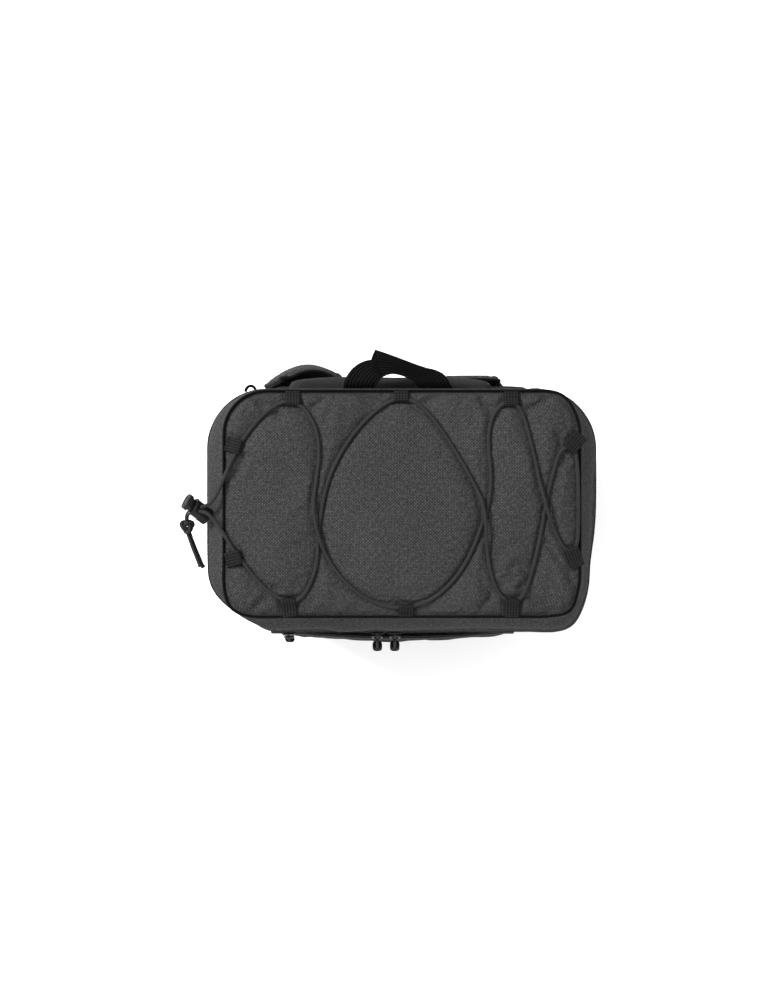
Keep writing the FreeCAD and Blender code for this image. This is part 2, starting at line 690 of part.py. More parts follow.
def make_side_pockets():
    """Two open-topped side pockets and the elastic round their mouths."""
    near = HALF_WIDTH + SIDE_POCKET_STANDOFF
    wall = SIDE_POCKET_WALL

    def half_round(growth, low, high):
        reach = SIDE_POCKET_DEPTH + growth
        half = SIDE_POCKET_HALF + growth
        outline = section(low, reach, -half, half, SIDE_POCKET_CORNER + min(growth, 0))
        block = prism(outline, high - low)
        block.translate(V(near, 0, 0))
        return block.cut(box(near - FAR, near, -FAR, FAR, low, high))

    pocket = half_round(0, SIDE_POCKET_LOW, SIDE_POCKET_TOP)
    pocket = pocket.cut(half_round(-wall, SIDE_POCKET_LOW + wall, SIDE_POCKET_TOP))
    elastic = half_round(wall + ELASTIC_GAP, ELASTIC_LOW, ELASTIC_TOP)
    elastic = elastic.cut(half_round(ELASTIC_GAP, ELASTIC_LOW, ELASTIC_TOP))
    return {
        "side_pocket_right": pocket,
        "side_pocket_left": pocket.mirror(ORIGIN, X_AXIS),
        "side_pocket_elastics": Part.makeCompound([elastic, elastic.mirror(ORIGIN, X_AXIS)]),
    }


def make_back():
    """The padded back, the yoke and the webbing carry handle with its sewn ends."""
    def upright(size, x, z):
        half_width, half_height, corner, thickness = size
        slab = prism(section(0, half_width, -half_height, half_height, corner), thickness)
        slab.rotate(ORIGIN, X_AXIS, 90)
        slab.translate(V(x, PAD_FACE + thickness, z))
        return slab

    hinge_y, hinge_z = HANDLE_HINGE
    middle = V(HANDLE_X, hinge_y, hinge_z - HANDLE_THICKNESS / 2)
    rise = V(0, 0, HANDLE_THICKNESS)
    outer = Part.Face(Part.Wire([Part.Ellipse(middle, *HANDLE_OUTER).toShape()]))
    inner = Part.Face(Part.Wire([Part.Ellipse(middle, *HANDLE_INNER).toShape()]))
    handle = outer.extrude(rise).cut(inner.extrude(rise))
    ends = []
    for x in (HANDLE_X - HANDLE_END_X, HANDLE_X + HANDLE_END_X):
        ends.append(box(x - HANDLE_END_HALF, x + HANDLE_END_HALF, PAD_FACE, PAD_FACE + WEBBING_THICKNESS,
                        HANDLE_END_LOW, HANDLE_END_TOP))
    return {
        "back_pad": upright(BACK_PAD, 0, BACK_PAD_Z),
        "harness_yoke": upright(YOKE, HARNESS_X, YOKE_Z),
        "carry_handle": behind(handle, hinge_y + TAPE_GAP),
        "handle_anchors": Part.makeCompound(ends),
    }


def bowed_pad(bow):
    """A strap pad that bows away from the back, about x = 0."""
    faces = []
    for y in (STRAP_FACE + STRAP_THICKNESS, STRAP_FACE):
        top = V(0, y, STRAP_TOP)
        middle = V(0, y + bow, STRAP_MIDDLE)
        low = V(0, y, STRAP_LOW)
        faces.append(Part.Arc(top, middle, low).toShape())
    outer, inner = faces
    ends = [Part.makeLine(outer.Vertexes[1].Point, inner.Vertexes[1].Point),
            Part.makeLine(inner.Vertexes[0].Point, outer.Vertexes[0].Point)]
    wire = Part.Wire(Part.__sortEdges__([outer, inner] + ends))
    pad = Part.Face(wire).extrude(V(2 * STRAP_HALF_WIDTH, 0, 0))
    pad.translate(V(-STRAP_HALF_WIDTH, 0, 0))
    return pad


def make_strap(side, x, splay):
    """One shoulder strap with its ladder lock, adjuster webbing and base anchor."""
    half = WEBBING / 2
    thick = WEBBING_THICKNESS
    lock_y = STRAP_FACE + STRAP_THICKNESS / 2
    low = STRAP_LOW - LADDER_DROP
    loop_low = low + STRAP_LOOP_LOW
    loop_top = STRAP_LOW + STRAP_LOOP_OVERLAP
    front, back = lock_y - STRAP_LOOP_HALF_DEPTH, lock_y + STRAP_LOOP_HALF_DEPTH
    loop = box(-half, half, front, back, loop_low, loop_top)
    loop = loop.cut(box(-half, half, front + thick, back - thick, loop_low + thick, loop_top))
    frame = box(-LADDER_HALF_WIDTH, LADDER_HALF_WIDTH, lock_y - LADDER_HALF_DEPTH,
                lock_y + LADDER_HALF_DEPTH, low, low + LADDER_HEIGHT)
    for slot_low, slot_high in LADDER_SLOTS:
        frame = frame.cut(box(-LADDER_SLOT_HALF, LADDER_SLOT_HALF, front, back,
                              low + slot_low, low + slot_high))
    entry, turn, end = ADJUSTER_RUN
    front, back = lock_y - ADJUSTER_OFFSET, lock_y + ADJUSTER_OFFSET
    line = [(ADJUSTER_SEWN_Y, z) for z in ADJUSTER_SEWN_Z]
    line += [(front, low + entry), (front, low + turn), (back, low + turn), (back, low + end)]
    anchor_half, anchor_near, anchor_far, anchor_low, anchor_top = BASE_ANCHOR
    pieces = {
        "strap_pad_" + side: bowed_pad(STRAP_BOW[side]).fuse(loop),
        "ladder_lock_" + side: frame,
        "adjuster_webbing_" + side: ribbon(line, thick, -half, half),
        "strap_anchor_" + side: box(-anchor_half, anchor_half, HALF_DEPTH + anchor_near,
                                    HALF_DEPTH + anchor_far, anchor_low, anchor_top),
    }
    for piece in pieces.values():
        piece.rotate(V(0, 0, STRAP_PIVOT_Z), Y_AXIS, splay)
        piece.translate(V(x, 0, 0))
    return pieces


def make_harness():
    """Both shoulder straps; the two base anchors share one node."""
    left = make_strap("left", HARNESS_X - STRAP_SPACING, STRAP_SPLAY["left"])
    right = make_strap("right", HARNESS_X + STRAP_SPACING, -STRAP_SPLAY["right"])
    anchors = Part.makeCompound([left.pop("strap_anchor_left"), right.pop("strap_anchor_right")])
    return {**left, **right, "strap_anchors": anchors}


def make_lacing():
    """The bungee cord, the knot that joins its ends, and the two tails."""
    tails = [cord_tube("tail", points) for points in TAILS]
    return {
        "bungee_cord": cord_tube("bungee_cord", LACING),
        "bungee_knot": Part.makeSphere(KNOT_RADIUS, KNOT_CENTRE),
        "bungee_tails": Part.makeCompound(tails),
    }


def main():
    nodes = {}
    nodes.update(make_body())
    nodes.update(make_lid_zipper())
    nodes.update(make_lid())
    around_piping = round_tube(top_seam(), PIPING_RADIUS + CLEAR)
    for name, (root, hold) in TABS.items():
        nodes[name] = max(make_tab(root, hold).cut(around_piping).Solids, key=lambda solid: solid.Volume)
    nodes.update(make_lacing())
    nodes.update(make_cord_lock())
    for side, x in (("left", LID_SLIDER_LEFT_X), ("right", LID_SLIDER_RIGHT_X)):
        names = ["lid_slider_" + side, "lid_pull_ring_" + side, "lid_pull_cord_" + side]
        nodes.update(place_zipper_pull(names, (x, -HALF_DEPTH - COIL_PLANE, ZIP_Z), 0.0,
                                       LID_PULL_TILT, LID_PULL_GRIP))
    nodes.update(make_front_pocket())
    nodes.update(make_side_pockets())
    nodes.update(make_back())
    nodes.update(make_harness())
    os.makedirs("parts", exist_ok=True)
    for name, shape in nodes.items():
        if not shape.isValid() or shape.Volume <= 0:
            print("INVALID", name)
        shape.exportStep(f"parts/{name}.step")
    print(len(nodes), "nodes")


main()
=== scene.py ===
import math

import bmesh
import bpy
import numpy as np
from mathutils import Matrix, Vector


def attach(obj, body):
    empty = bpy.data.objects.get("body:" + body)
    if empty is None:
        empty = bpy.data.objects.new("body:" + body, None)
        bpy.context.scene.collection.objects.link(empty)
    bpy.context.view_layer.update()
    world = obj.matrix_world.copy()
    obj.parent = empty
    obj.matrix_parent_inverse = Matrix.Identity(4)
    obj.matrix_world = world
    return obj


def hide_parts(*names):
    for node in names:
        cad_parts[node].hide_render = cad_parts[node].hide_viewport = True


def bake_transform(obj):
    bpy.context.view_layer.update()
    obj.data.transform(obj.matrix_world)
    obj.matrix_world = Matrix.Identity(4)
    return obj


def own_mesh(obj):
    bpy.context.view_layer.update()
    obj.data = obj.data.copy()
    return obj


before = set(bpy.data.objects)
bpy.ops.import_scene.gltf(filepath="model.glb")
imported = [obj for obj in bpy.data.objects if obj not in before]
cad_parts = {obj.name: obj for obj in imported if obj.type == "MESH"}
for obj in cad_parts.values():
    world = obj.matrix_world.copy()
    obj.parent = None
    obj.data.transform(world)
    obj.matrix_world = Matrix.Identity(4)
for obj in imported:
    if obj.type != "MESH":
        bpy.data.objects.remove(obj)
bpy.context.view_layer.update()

# A structured backpack with a laced, zipped lid. The frame is metres; shapes below are drawn in
# millimetres and turned into metres where their mesh is made. +Y is the back, +Z is up.

MM = 0.001
scene = bpy.context.scene
scene.view_settings.view_transform = "Standard"

# ---------------------------------------------------------------- camera

camera = bpy.data.objects.new("camera", bpy.data.cameras.new("camera"))
camera.data.sensor_width = 36.0
camera.data.lens = 71.6
camera.data.clip_end = 400.0
camera.location = (-0.0145, 0.0095, 2.178)
scene.collection.objects.link(camera)
scene.camera = camera

# ---------------------------------------------------------------- meshes


def make_mesh(name, points, faces, uvs=None):
    """A smooth-shaded mesh from millimetre points, with optional UVs for each face corner."""
    mesh = bpy.data.meshes.new(name)
    mesh.from_pydata((np.asarray(points, float) * MM).tolist(), [], faces)
    if uvs is not None:
        layer = mesh.uv_layers.new(name="UVMap")
        layer.data.foreach_set("uv", np.asarray(uvs, float).ravel())
    mesh.polygons.foreach_set("use_smooth", [True] * len(mesh.polygons))
    mesh.update()
    return mesh


def steps_along(points, axis, wrap):
    """The running length in metres along one axis of a grid of points, averaged over the other."""
    after = np.roll(points, -1, axis) if wrap else np.take(points, range(1, points.shape[axis]), axis)
    before = points if wrap else np.take(points, range(points.shape[axis] - 1), axis)
    length = np.linalg.norm(after - before, axis=2).mean(1 - axis) * MM
    return np.concatenate([[0.0], np.cumsum(length)])


def grid(name, points, wrap_u=False, wrap_v=False, flip=False, caps=False):
    """A mesh through rows of points. Rows run along v, columns along u, and UVs are in metres."""
    rows, cols = points.shape[:2]
    i, j = np.meshgrid(np.arange(rows if wrap_v else rows - 1), np.arange(cols if wrap_u else cols - 1),
                       indexing="ij")
    i, j = i.ravel(), j.ravel()
    i2, j2 = (i + 1) % rows, (j + 1) % cols
    faces = np.stack([i * cols + j, i * cols + j2, i2 * cols + j2, i2 * cols + j], 1)
    u, v = steps_along(points, 1, wrap_u), steps_along(points, 0, wrap_v)
    uvs = np.stack([u[j], v[i], u[j + 1], v[i], u[j + 1], v[i + 1], u[j], v[i + 1]], 1).reshape(-1, 4, 2)
    if flip:
        faces, uvs = faces[:, ::-1], uvs[:, ::-1]
    faces = faces.tolist()
    uvs = uvs.reshape(-1, 2).tolist()
    if caps:
        half = cols // 2
        for row, turn in ((0, not flip), (rows - 1, flip)):
            for k in range(half - 1):
                quad = [k, k + 1, cols - 2 - k, cols - 1 - k]
                quad = quad[::-1] if turn else quad
                faces.append([row * cols + q for q in quad])
                uvs.extend([u[q], v[-1] * (row > 0) + 0.003 * (q >= half)] for q in quad)
    return make_mesh(name, points.reshape(-1, 3), faces, uvs)


def face_out(mesh, facing=None):
    """Turns the faces of closed shapes outward, or those of an open sheet towards a way."""
    edit = bmesh.new()
    edit.from_mesh(mesh)
    if facing is None:
        bmesh.ops.recalc_face_normals(edit, faces=edit.faces)
    else:
        lean = sum((face.normal * face.calc_area() for face in edit.faces), Vector())
        if lean.dot(Vector(facing)) < 0:
            bmesh.ops.reverse_faces(edit, faces=edit.faces)
    edit.to_mesh(mesh)
    edit.free()


def add(mesh, body, slot, node=(), facing=None, thickness=1.2):
    """A piece made of one mesh: its material, its body and the CAD nodes that it stands for.

    An open sheet is given the way that it faces, and gets a thickness behind it.
    """
    face_out(mesh, facing)
    piece = bpy.data.objects.new(mesh.name, mesh)
    if facing is not None:
        layer = piece.modifiers.new("thickness", "SOLIDIFY")
        layer.thickness = thickness * MM
        layer.offset = -1.0
    scene.collection.objects.link(piece)
    mesh.materials.append(LOOKS[slot])
    if body:
        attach(piece, body)
    if node:
        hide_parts(*([node] if isinstance(node, str) else node))
    return piece


def add_rings(name, points, body, slot, node=(), loop=False):
    """A piece through closed rings of points: a loop of them, or a bar with closed ends."""
    return add(grid(name, points, wrap_u=True, wrap_v=loop, caps=not loop), body, slot, node)


def surface_normals(points, wrap_u=False):
    """Unit normals of a grid of points, on its outer side."""
    across = np.roll(points, -1, 1) - np.roll(points, 1, 1) if wrap_u else np.gradient(points, axis=1)
    return unit(np.cross(np.gradient(points, axis=0), across))


def finer(points, wrap_u=False):
    """Twice as many points each way, on a smooth curve through the old ones."""
    for axis, wrap in ((0, False), (1, wrap_u)):
        rows = np.moveaxis(points, axis, 0)
        if wrap:
            padded = np.concatenate([rows[-1:], rows, rows[:2]])
        else:
            padded = np.concatenate([2 * rows[:1] - rows[1:2], rows, 2 * rows[-1:] - rows[-2:-1]])
        middle = (9 * (padded[1:-2] + padded[2:-1]) - padded[:-3] - padded[3:]) / 16
        out = np.empty((len(rows) + len(middle),) + rows.shape[1:])
        out[0::2], out[1::2] = rows, middle
        points = np.moveaxis(out, 0, axis)
    return points


def closed(line):
    """A ring of points with its first one again at its end."""
    return np.vstack([line, line[:1]])


def circle(count):
    """Even angles once round."""
    return np.linspace(0, 2 * math.pi, count, endpoint=False)


def row_at(points, z, column=0):
    """The row of a grid whose point in one column is nearest to a height."""
    return int(np.argmin(np.abs(points[:, column, 2] - z)))


WAVES = 14


def ripple(points, size, seed):
    """Smooth noise between about -1 and 1 whose features are about size millimetres across."""
    draw = np.random.RandomState(seed)
    total = np.zeros(points.shape[:-1])
    for _ in range(WAVES):
        way = draw.normal(size=3)
        way *= 2 * math.pi / (size * draw.uniform(1.4, 3.4)) / np.linalg.norm(way)
        total += np.sin(points @ way + draw.uniform(0, 2 * math.pi))
    return total / math.sqrt(WAVES)


def ease(value, low, high):
    """0 below low, 1 above high and smooth between."""
    t = np.clip((value - low) / (high - low), 0, 1)
    return t * t * (3 - 2 * t)


CLOTH_FRAMES = 20
CLOTH_SETTINGS = {"quality": 6, "mass": 0.2, "tension_stiffness": 20, "compression_stiffness": 20,
                  "shear_stiffness": 8, "bending_stiffness": 0.6, "use_pressure": True}


def relax(points, closed_rows, pressure, cap, pinned=None, shrink=0.0, flip=False):
    """The same grid after a short cloth simulation under pressure; no point moves over cap mm."""
    mesh = grid("cloth_rest", points, closed_rows, False, flip, closed_rows)
    body = bpy.data.objects.new("cloth_rest", mesh)
    scene.collection.objects.link(body)
    cloth = body.modifiers.new("cloth", "CLOTH")
    settings = cloth.settings
    for key, value in CLOTH_SETTINGS.items():
        setattr(settings, key, value)
    settings.uniform_pressure_force = pressure
    settings.shrink_min = shrink
    settings.effector_weights.gravity = 0
    if pinned is not None:
        group = body.vertex_groups.new(name="pinned")
        for index in np.flatnonzero(pinned.ravel()):
            group.add([int(index)], 1.0, "REPLACE")
        settings.vertex_group_mass = "pinned"
    cloth.point_cache.frame_start = 1
    cloth.point_cache.frame_end = CLOTH_FRAMES
    for number in range(1, CLOTH_FRAMES + 1):
        scene.frame_set(number)
    shaped = body.evaluated_get(bpy.context.evaluated_depsgraph_get()).to_mesh()
    flat = np.empty(3 * len(shaped.vertices))
    shaped.vertices.foreach_get("co", flat)
    moved = flat.reshape(points.shape) / MM - points
    bpy.data.objects.remove(body)
    bpy.data.meshes.remove(mesh)
    scene.frame_set(1)
    far = np.linalg.norm(moved, axis=2, keepdims=True)
    return points + moved * (np.tanh(far / cap) * cap / np.maximum(far, 1e-6))


def ring(half_width, front, back, corner, across=56, deep=34, turn=14):
    """Points and outward normals round a rounded rectangle, anticlockwise from the middle of the back."""
    side, near, far = half_width - corner, front + corner, back - corner
    points, normals = [], []
    for start, end, count, way, middle in (
            ((0, back), (-side, back), across // 2, 90, (-side, far)),
            ((-half_width, far), (-half_width, near), deep, 180, (-side, near)),
            ((-side, front), (side, front), across, 270, (side, near)),
            ((half_width, near), (half_width, far), deep, 0, (side, far)),
            ((side, back), (0, back), across // 2, 90, None)):
        along = np.arange(count)[:, None] / count
        points.append(np.array(start) + (np.array(end) - start) * along)
        angle = np.full(count, math.radians(way))
        normals.append(np.column_stack([np.cos(angle), np.sin(angle)]))
        if middle is not None:
            angle = np.radians(way + 90 * np.arange(turn) / turn)
            normals.append(np.column_stack([np.cos(angle), np.sin(angle)]))
            points.append(middle + corner * normals[-1])
    return np.concatenate(points), np.concatenate(normals)


def even(points, step):
    """A line resampled at even steps, with both ends kept."""
    points = np.asarray(points, float)
    length = np.concatenate([[0], np.cumsum(np.linalg.norm(np.diff(points, axis=0), axis=1))])
    at = np.linspace(0, length[-1], max(2, int(round(length[-1] / step)) + 1))
    return np.column_stack([np.interp(at, length, points[:, k]) for k in range(points.shape[1])])


def rounded_line(points, count=3):
    """A broken line whose corners are cut smooth."""
    points = np.asarray(points, float)
    for _ in range(count):
        near = points[:-1] * 0.75 + points[1:] * 0.25
        far = points[:-1] * 0.25 + points[1:] * 0.75
        middle = np.stack([near, far], 1).reshape(-1, points.shape[1])
        points = np.concatenate([points[:1], middle, points[-1:]])
    return points


def unit(vectors):
    """Vectors of length 1."""
    return vectors / np.maximum(np.linalg.norm(vectors, axis=-1, keepdims=True), 1e-9)


def rod(line, radius, sides=10, surface=None):
    """A round tube along a line; surface(turn, length) adds to its radius."""
    tangent = unit(np.gradient(line, axis=0))
    side = np.cross(tangent[0], (0.3, 0.2, 1.0))
    frames = []
    for t in tangent:
        side = unit(side - t * (side @ t))
        frames.append(side)
    frames = np.array(frames)
    other = np.cross(tangent, frames)
    turn = circle(sides)
    length = np.concatenate([[0], np.cumsum(np.linalg.norm(np.diff(line, axis=0), axis=1))])
    radius = np.broadcast_to(radius, len(line))[:, None] * np.ones(sides)[None]
    if surface is not None:
        radius = radius + surface(turn[None], length[:, None])
    return line[:, None] + radius[..., None] * (np.cos(turn)[None, :, None] * frames[:, None]
                                                + np.sin(turn)[None, :, None] * other[:, None])


def tape(line, across, width, thickness, rib, depth, cols):
    """Webbing with raised ribs across it: a grid round its section, along a line."""
    line = even(line, rib / 4)
    across = unit(np.broadcast_to(np.asarray(across, float), line.shape))
    tangent = unit(np.gradient(line, axis=0))
    normal = unit(np.cross(tangent, across))
    length = np.linspace(0, 1, len(line)) * np.linalg.norm(np.diff(line, axis=0), axis=1).sum()
    half, thin = width / 2, thickness / 2
    edge = np.linspace(-half + thin, half - thin, cols)
    loop = np.array([(x, thin) for x in edge] + [(half, 0.0)]
                    + [(x, -thin) for x in edge[::-1]] + [(-half, 0.0)])
    swell = 1 + depth / thin * np.sin(2 * math.pi * length / rib)
    points = line[:, None] + across[:, None] * loop[None, :, :1]
    return points + normal[:, None] * loop[None, :, 1:] * swell[:, None, None]


def webbing(name, line, across, width=25, thickness=1.4, rib=1.3, depth=0.12, cols=12):
    """The mesh of a length of webbing with closed ends."""
    return grid(name, tape(line, across, width, thickness, rib, depth, cols), wrap_u=True, caps=True)


def stamp(name, template, origin, x, y, z):
    """Many copies of a small shape, each in its own frame."""
    corners, faces = template
    points = origin[:, None] + corners[None, :, :1] * x[:, None] + corners[None, :, 1:2] * y[:, None] \
        + corners[None, :, 2:] * z[:, None]
    count = len(corners)
    every = [[k * count + index for index in face] for k in range(len(origin)) for face in faces]
    return make_mesh(name, points.reshape(-1, 3), every)


def lump(length, width, height, sides=8, sag=0.0):
    """A small rounded bar along x that a stitch or a tooth is stamped from."""
    stations = [(-0.5, 0.35), (-0.38, 0.85), (0.0, 1.0), (0.38, 0.85), (0.5, 0.35)]
    corners, faces = [], []
    for along, size in stations:
        for k in range(sides):
            angle = 2 * math.pi * (k + 0.5) / sides
            corners.append((along * length, size * width / 2 * math.cos(angle),
                            size * height / 2 * math.sin(angle) - sag * (2 * along) ** 2))
    for s in range(len(stations) - 1):
        for k in range(sides):
            k2 = (k + 1) % sides
            faces.append([s * sides + k, (s + 1) * sides + k, (s + 1) * sides + k2, s * sides + k2])
    faces.append(list(range(sides)))
    faces.append([4 * sides + k for k in range(sides)][::-1])
    return np.array(corners), faces


STITCH = lump(2.5, 0.62, 0.5, 6, 0.22)
TOOTH = lump(3.0, 1.15, 2.5, 8)
TOOTH_PITCH = 0.95
runs = {}


def sew(body, line, normal, pitch=3.3, lift=0.1):
    """Notes a row of stitches along a line; all rows on one body become one piece."""
    line, normal = np.asarray(line, float), np.asarray(normal, float)
    normal = np.broadcast_to(normal, line.shape)
    both = even(np.hstack([line, normal]), pitch)
    if np.allclose(line[0], line[-1]):
        both = both[:-1]
    at, up = both[:, :3], unit(both[:, 3:])
    way = unit(np.gradient(at, axis=0))
    up = unit(up - way * (up * way).sum(1, keepdims=True))
    runs.setdefault(body, []).append((at + up * lift, way, np.cross(up, way), up))


def sew_round(body, points, heights):
    """Rows of stitches round a closed cloth at the given heights."""
    normals = surface_normals(points, True)
    for z in heights:
        row = row_at(points, z)
        sew(body, closed(points[row]), closed(normals[row]))


def finish_sewing():
    """One piece of thread for each body."""
    for body, rows in runs.items():
        origin, x, y, z = (np.concatenate([row[k] for row in rows]) for k in range(4))
        add(stamp("stitches_" + body, STITCH, origin, x, y, z), body, "thread")


def refined(node, name, body, slot, bevel):
    """The CAD node's own shape with its hard edges rounded."""
    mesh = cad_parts[node].data.copy()
    mesh.name = name
    mesh.materials.clear()
    edit = bmesh.new()
    edit.from_mesh(mesh)
    bmesh.ops.remove_doubles(edit, verts=edit.verts, dist=2e-6)
    bmesh.ops.dissolve_limit(edit, angle_limit=math.radians(1.5), verts=edit.verts, edges=edit.edges)
    sharp = [e for e in edit.edges if len(e.link_faces) == 2 and e.calc_face_angle(0) > math.radians(35)]
    bmesh.ops.bevel(edit, geom=sharp, offset=bevel * MM, segments=3, profile=0.6, affect="EDGES",
                    clamp_overlap=True)
    bmesh.ops.triangulate(edit, faces=[f for f in edit.faces if len(f.verts) > 4])
    edit.to_mesh(mesh)
    edit.free()
    box_uv(mesh)
    mesh.polygons.foreach_set("use_smooth", [True] * len(mesh.polygons))
    mesh.set_sharp_from_angle(angle=math.radians(38))
    return add(mesh, body, slot, node)


def merged(name, meshes):
    """Several meshes as one."""
    edit = bmesh.new()
    for mesh in meshes:
        edit.from_mesh(mesh)
        bpy.data.meshes.remove(mesh)
    out = bpy.data.meshes.new(name)
    edit.to_mesh(out)
    edit.free()
    out.polygons.foreach_set("use_smooth", [True] * len(out.polygons))
    return out


def box_uv(mesh):
    """UVs in metres from each face's main direction."""
    layer = mesh.uv_layers[0] if mesh.uv_layers else mesh.uv_layers.new(name="UVMap")
    for face in mesh.polygons:
        lead = max(range(3), key=lambda k: abs(face.normal[k]))
        a, b = [k for k in range(3) if k != lead]
        for loop in face.loop_indices:
            co = mesh.vertices[mesh.loops[loop].vertex_index].co
            layer.data[loop].uv = (co[a], co[b])


# ---------------------------------------------------------------- materials


LOOKS = {}


class Look:
    """A principled material that is built up node by node."""

    def __init__(self, name, roughness=0.8, metallic=0.0, specular=0.4):
        self.material = bpy.data.materials.new(name)
        LOOKS[name] = self.material
        self.material.use_nodes = True
        self.tree = self.material.node_tree
        self.shader = self.tree.nodes["Principled BSDF"]
        self.fill(self.shader, {"Roughness": roughness, "Metallic": metallic,
                                "Specular IOR Level": specular})

    def fill(self, node, values):
        """Sets a node's inputs, or links them to other nodes' outputs."""
        for key, value in values.items():
            if isinstance(value, bpy.types.NodeSocket):
                self.tree.links.new(value, node.inputs[key])
            else:
                node.inputs[key].default_value = value

    def node(self, kind, values, **settings):
        """The outputs of a new node."""
        made = self.tree.nodes.new(kind)
        for key, value in settings.items():
            setattr(made, key, value)
        self.fill(made, values)
        return made.outputs

    def math(self, operation, *values):
        return self.node("ShaderNodeMath", dict(enumerate(values)), operation=operation)[0]

    def times(self, first, second):
        return self.math("MULTIPLY", first, second)

    def wave(self, value, pitch):
        """A sine that is zero at every pitch of the value."""
        return self.math("SINE", self.times(value, math.pi / pitch))

    def span(self, value, low, high):
        """A value from 0 to 1, stretched to run from low to high."""
        return self.math("MULTIPLY_ADD", value, high - low, low)

    def coordinates(self, kind="UV"):
        return self.node("ShaderNodeTexCoord", {})[kind]

    def split(self, vector):
        return self.node("ShaderNodeSeparateXYZ", {0: vector})

    def stretch(self, vector, x, y):
        return self.node("ShaderNodeMapping", {"Vector": vector, "Scale": (x, y, 1.0)})[0]

    def noise(self, vector, scale, detail=2.0, rough=0.5):
        values = {"Vector": vector, "Scale": scale, "Detail": detail, "Roughness": rough}
        return self.node("ShaderNodeTexNoise", values)["Fac"]

    def cells(self, vector, scale, randomness=1.0):
        values = {"Vector": vector, "Scale": scale, "Randomness": randomness}
        return self.node("ShaderNodeTexVoronoi", values, feature="F1")["Distance"]

    def mix(self, amount, first, second):
        return self.node("ShaderNodeMix", {0: amount, 6: first, 7: second}, data_type="RGBA")[2]

    def scale_colour(self, colour, amount):
        return self.node("ShaderNodeHueSaturation", {"Color": colour, "Value": amount})[0]

    def finish(self, colour, height=None, distance=0.0003, strength=0.8, roughness=None):
        self.fill(self.shader, {"Base Color": colour})
        if roughness is not None:
            self.fill(self.shader, {"Roughness": roughness})
        if height is not None:
            values = {"Strength": strength, "Distance": distance, "Height": height}
            self.fill(self.shader, {"Normal": self.node("ShaderNodeBump", values)[0]})


def grey(level):
    """A neutral colour."""
    return (level, level, level, 1.0)


def woven(name, light, dark, pitch, roughness=0.85, depth=0.0003, patchy_tone=0.12, valley_shade=0.5):
    """Plain-woven cloth: lighter warp over darker weft and uneven threads, with painted shade in the valleys
    between threads and broad patches of painted shade and light.
    """
    look = Look(name, roughness, specular=0.04)
    uv = look.coordinates()
    u, v, _ = look.split(uv)
    wobble = look.times(look.noise(uv, 0.2 / pitch, 1.0), 1.4 * math.pi)
    across = look.math("SINE", look.math("MULTIPLY_ADD", u, math.pi / pitch, wobble))
    along = look.math("SINE", look.math("MULTIPLY_ADD", v, math.pi / pitch, wobble))
    over = look.math("GREATER_THAN", look.times(across, along), 0.0)
    crown_u, crown_v = look.math("ABSOLUTE", across), look.math("ABSOLUTE", along)
    warp = look.times(crown_u, look.span(crown_v, 0.45, 1.0))
    weft = look.times(crown_v, look.span(crown_u, 0.45, 1.0))
    height = look.math("ADD", look.times(over, warp),
                       look.times(look.math("SUBTRACT", 1.0, over), weft))
    warp_tone = look.noise(look.stretch(uv, 1.0, 0.4), 0.9 / pitch, 1.0)
    weft_tone = look.noise(look.stretch(uv, 0.4, 1.0), 0.9 / pitch, 1.0)
    tone = look.mix(over, look.mix(look.times(weft_tone, 0.7), dark, light),
                    look.mix(look.times(warp_tone, 1.35), dark, light))
    # Painted shade: the weave's valleys are darkened, and broad random patches are darkened or lightened to
    # stand for the shading of folds.
    shade = look.times(look.span(height, 1 - valley_shade, 1.15),
                      look.span(look.noise(uv, 9.0, 3.0), 1 - patchy_tone, 1 + patchy_tone))
    speck = look.math("GREATER_THAN", look.noise(uv, 0.5 / pitch, 0.0), 0.62)
    tone = look.mix(look.times(speck, 0.35), tone, light)
    rough = look.span(look.noise(uv, 60.0), roughness - 0.08, roughness + 0.08)
    look.finish(look.scale_colour(tone, shade), height, depth, 0.8, rough)


def ribbed(name, light, dark, rib, lean=0.0, roughness=0.62, depth=0.0003, column=0.0007, gap=0.7):
    """Webbing: ribs across it, with two columns that lean against each other and fine yarns."""
    look = Look(name, roughness, specular=0.04)
    uv = look.coordinates()
    u, v, _ = look.split(uv)
    chevron = look.times(look.math("PINGPONG", u, 0.0022), lean)
    place = look.math("ADD", v, chevron)
    crown = look.math("ABSOLUTE", look.wave(place, rib))
    yarn = look.math("ABSOLUTE", look.wave(u, column))
    height = look.times(crown, look.span(yarn, gap, 1.0))
    fuzz = look.noise(look.stretch(uv, 1.0, 0.25), 1400.0, 2.0)
    # Painted highlight and shade: rib crowns and yarn columns are coloured light, the grooves between them
    # dark.
    tone = look.mix(look.times(height, fuzz), dark, light)
    patchy_tone = look.span(look.noise(uv, 30.0, 3.0), 0.8, 1.2)
    look.finish(look.scale_colour(tone, patchy_tone), height, depth, 0.8)


def airy(name, light, dark, cell):
    """Spacer mesh: rows of open cells in a knitted face."""
    look = Look(name, 0.9, specular=0.04)
    uv = look.coordinates()
    holes = look.cells(look.stretch(uv, 1.0, 0.7), 1 / cell, 0.12)
    open_at = look.math("SMOOTH_MIN", look.times(holes, 2.6), 1.0, 0.3)
    yarn = look.noise(uv, 2600.0, 2.0)
    tone = look.mix(look.times(open_at, look.span(yarn, 0.6, 1.2)), dark, light)
    tone = look.scale_colour(tone, look.span(look.noise(uv, 14.0, 3.0), 0.86, 1.12))
    look.finish(tone, open_at, 0.0006, 0.8)


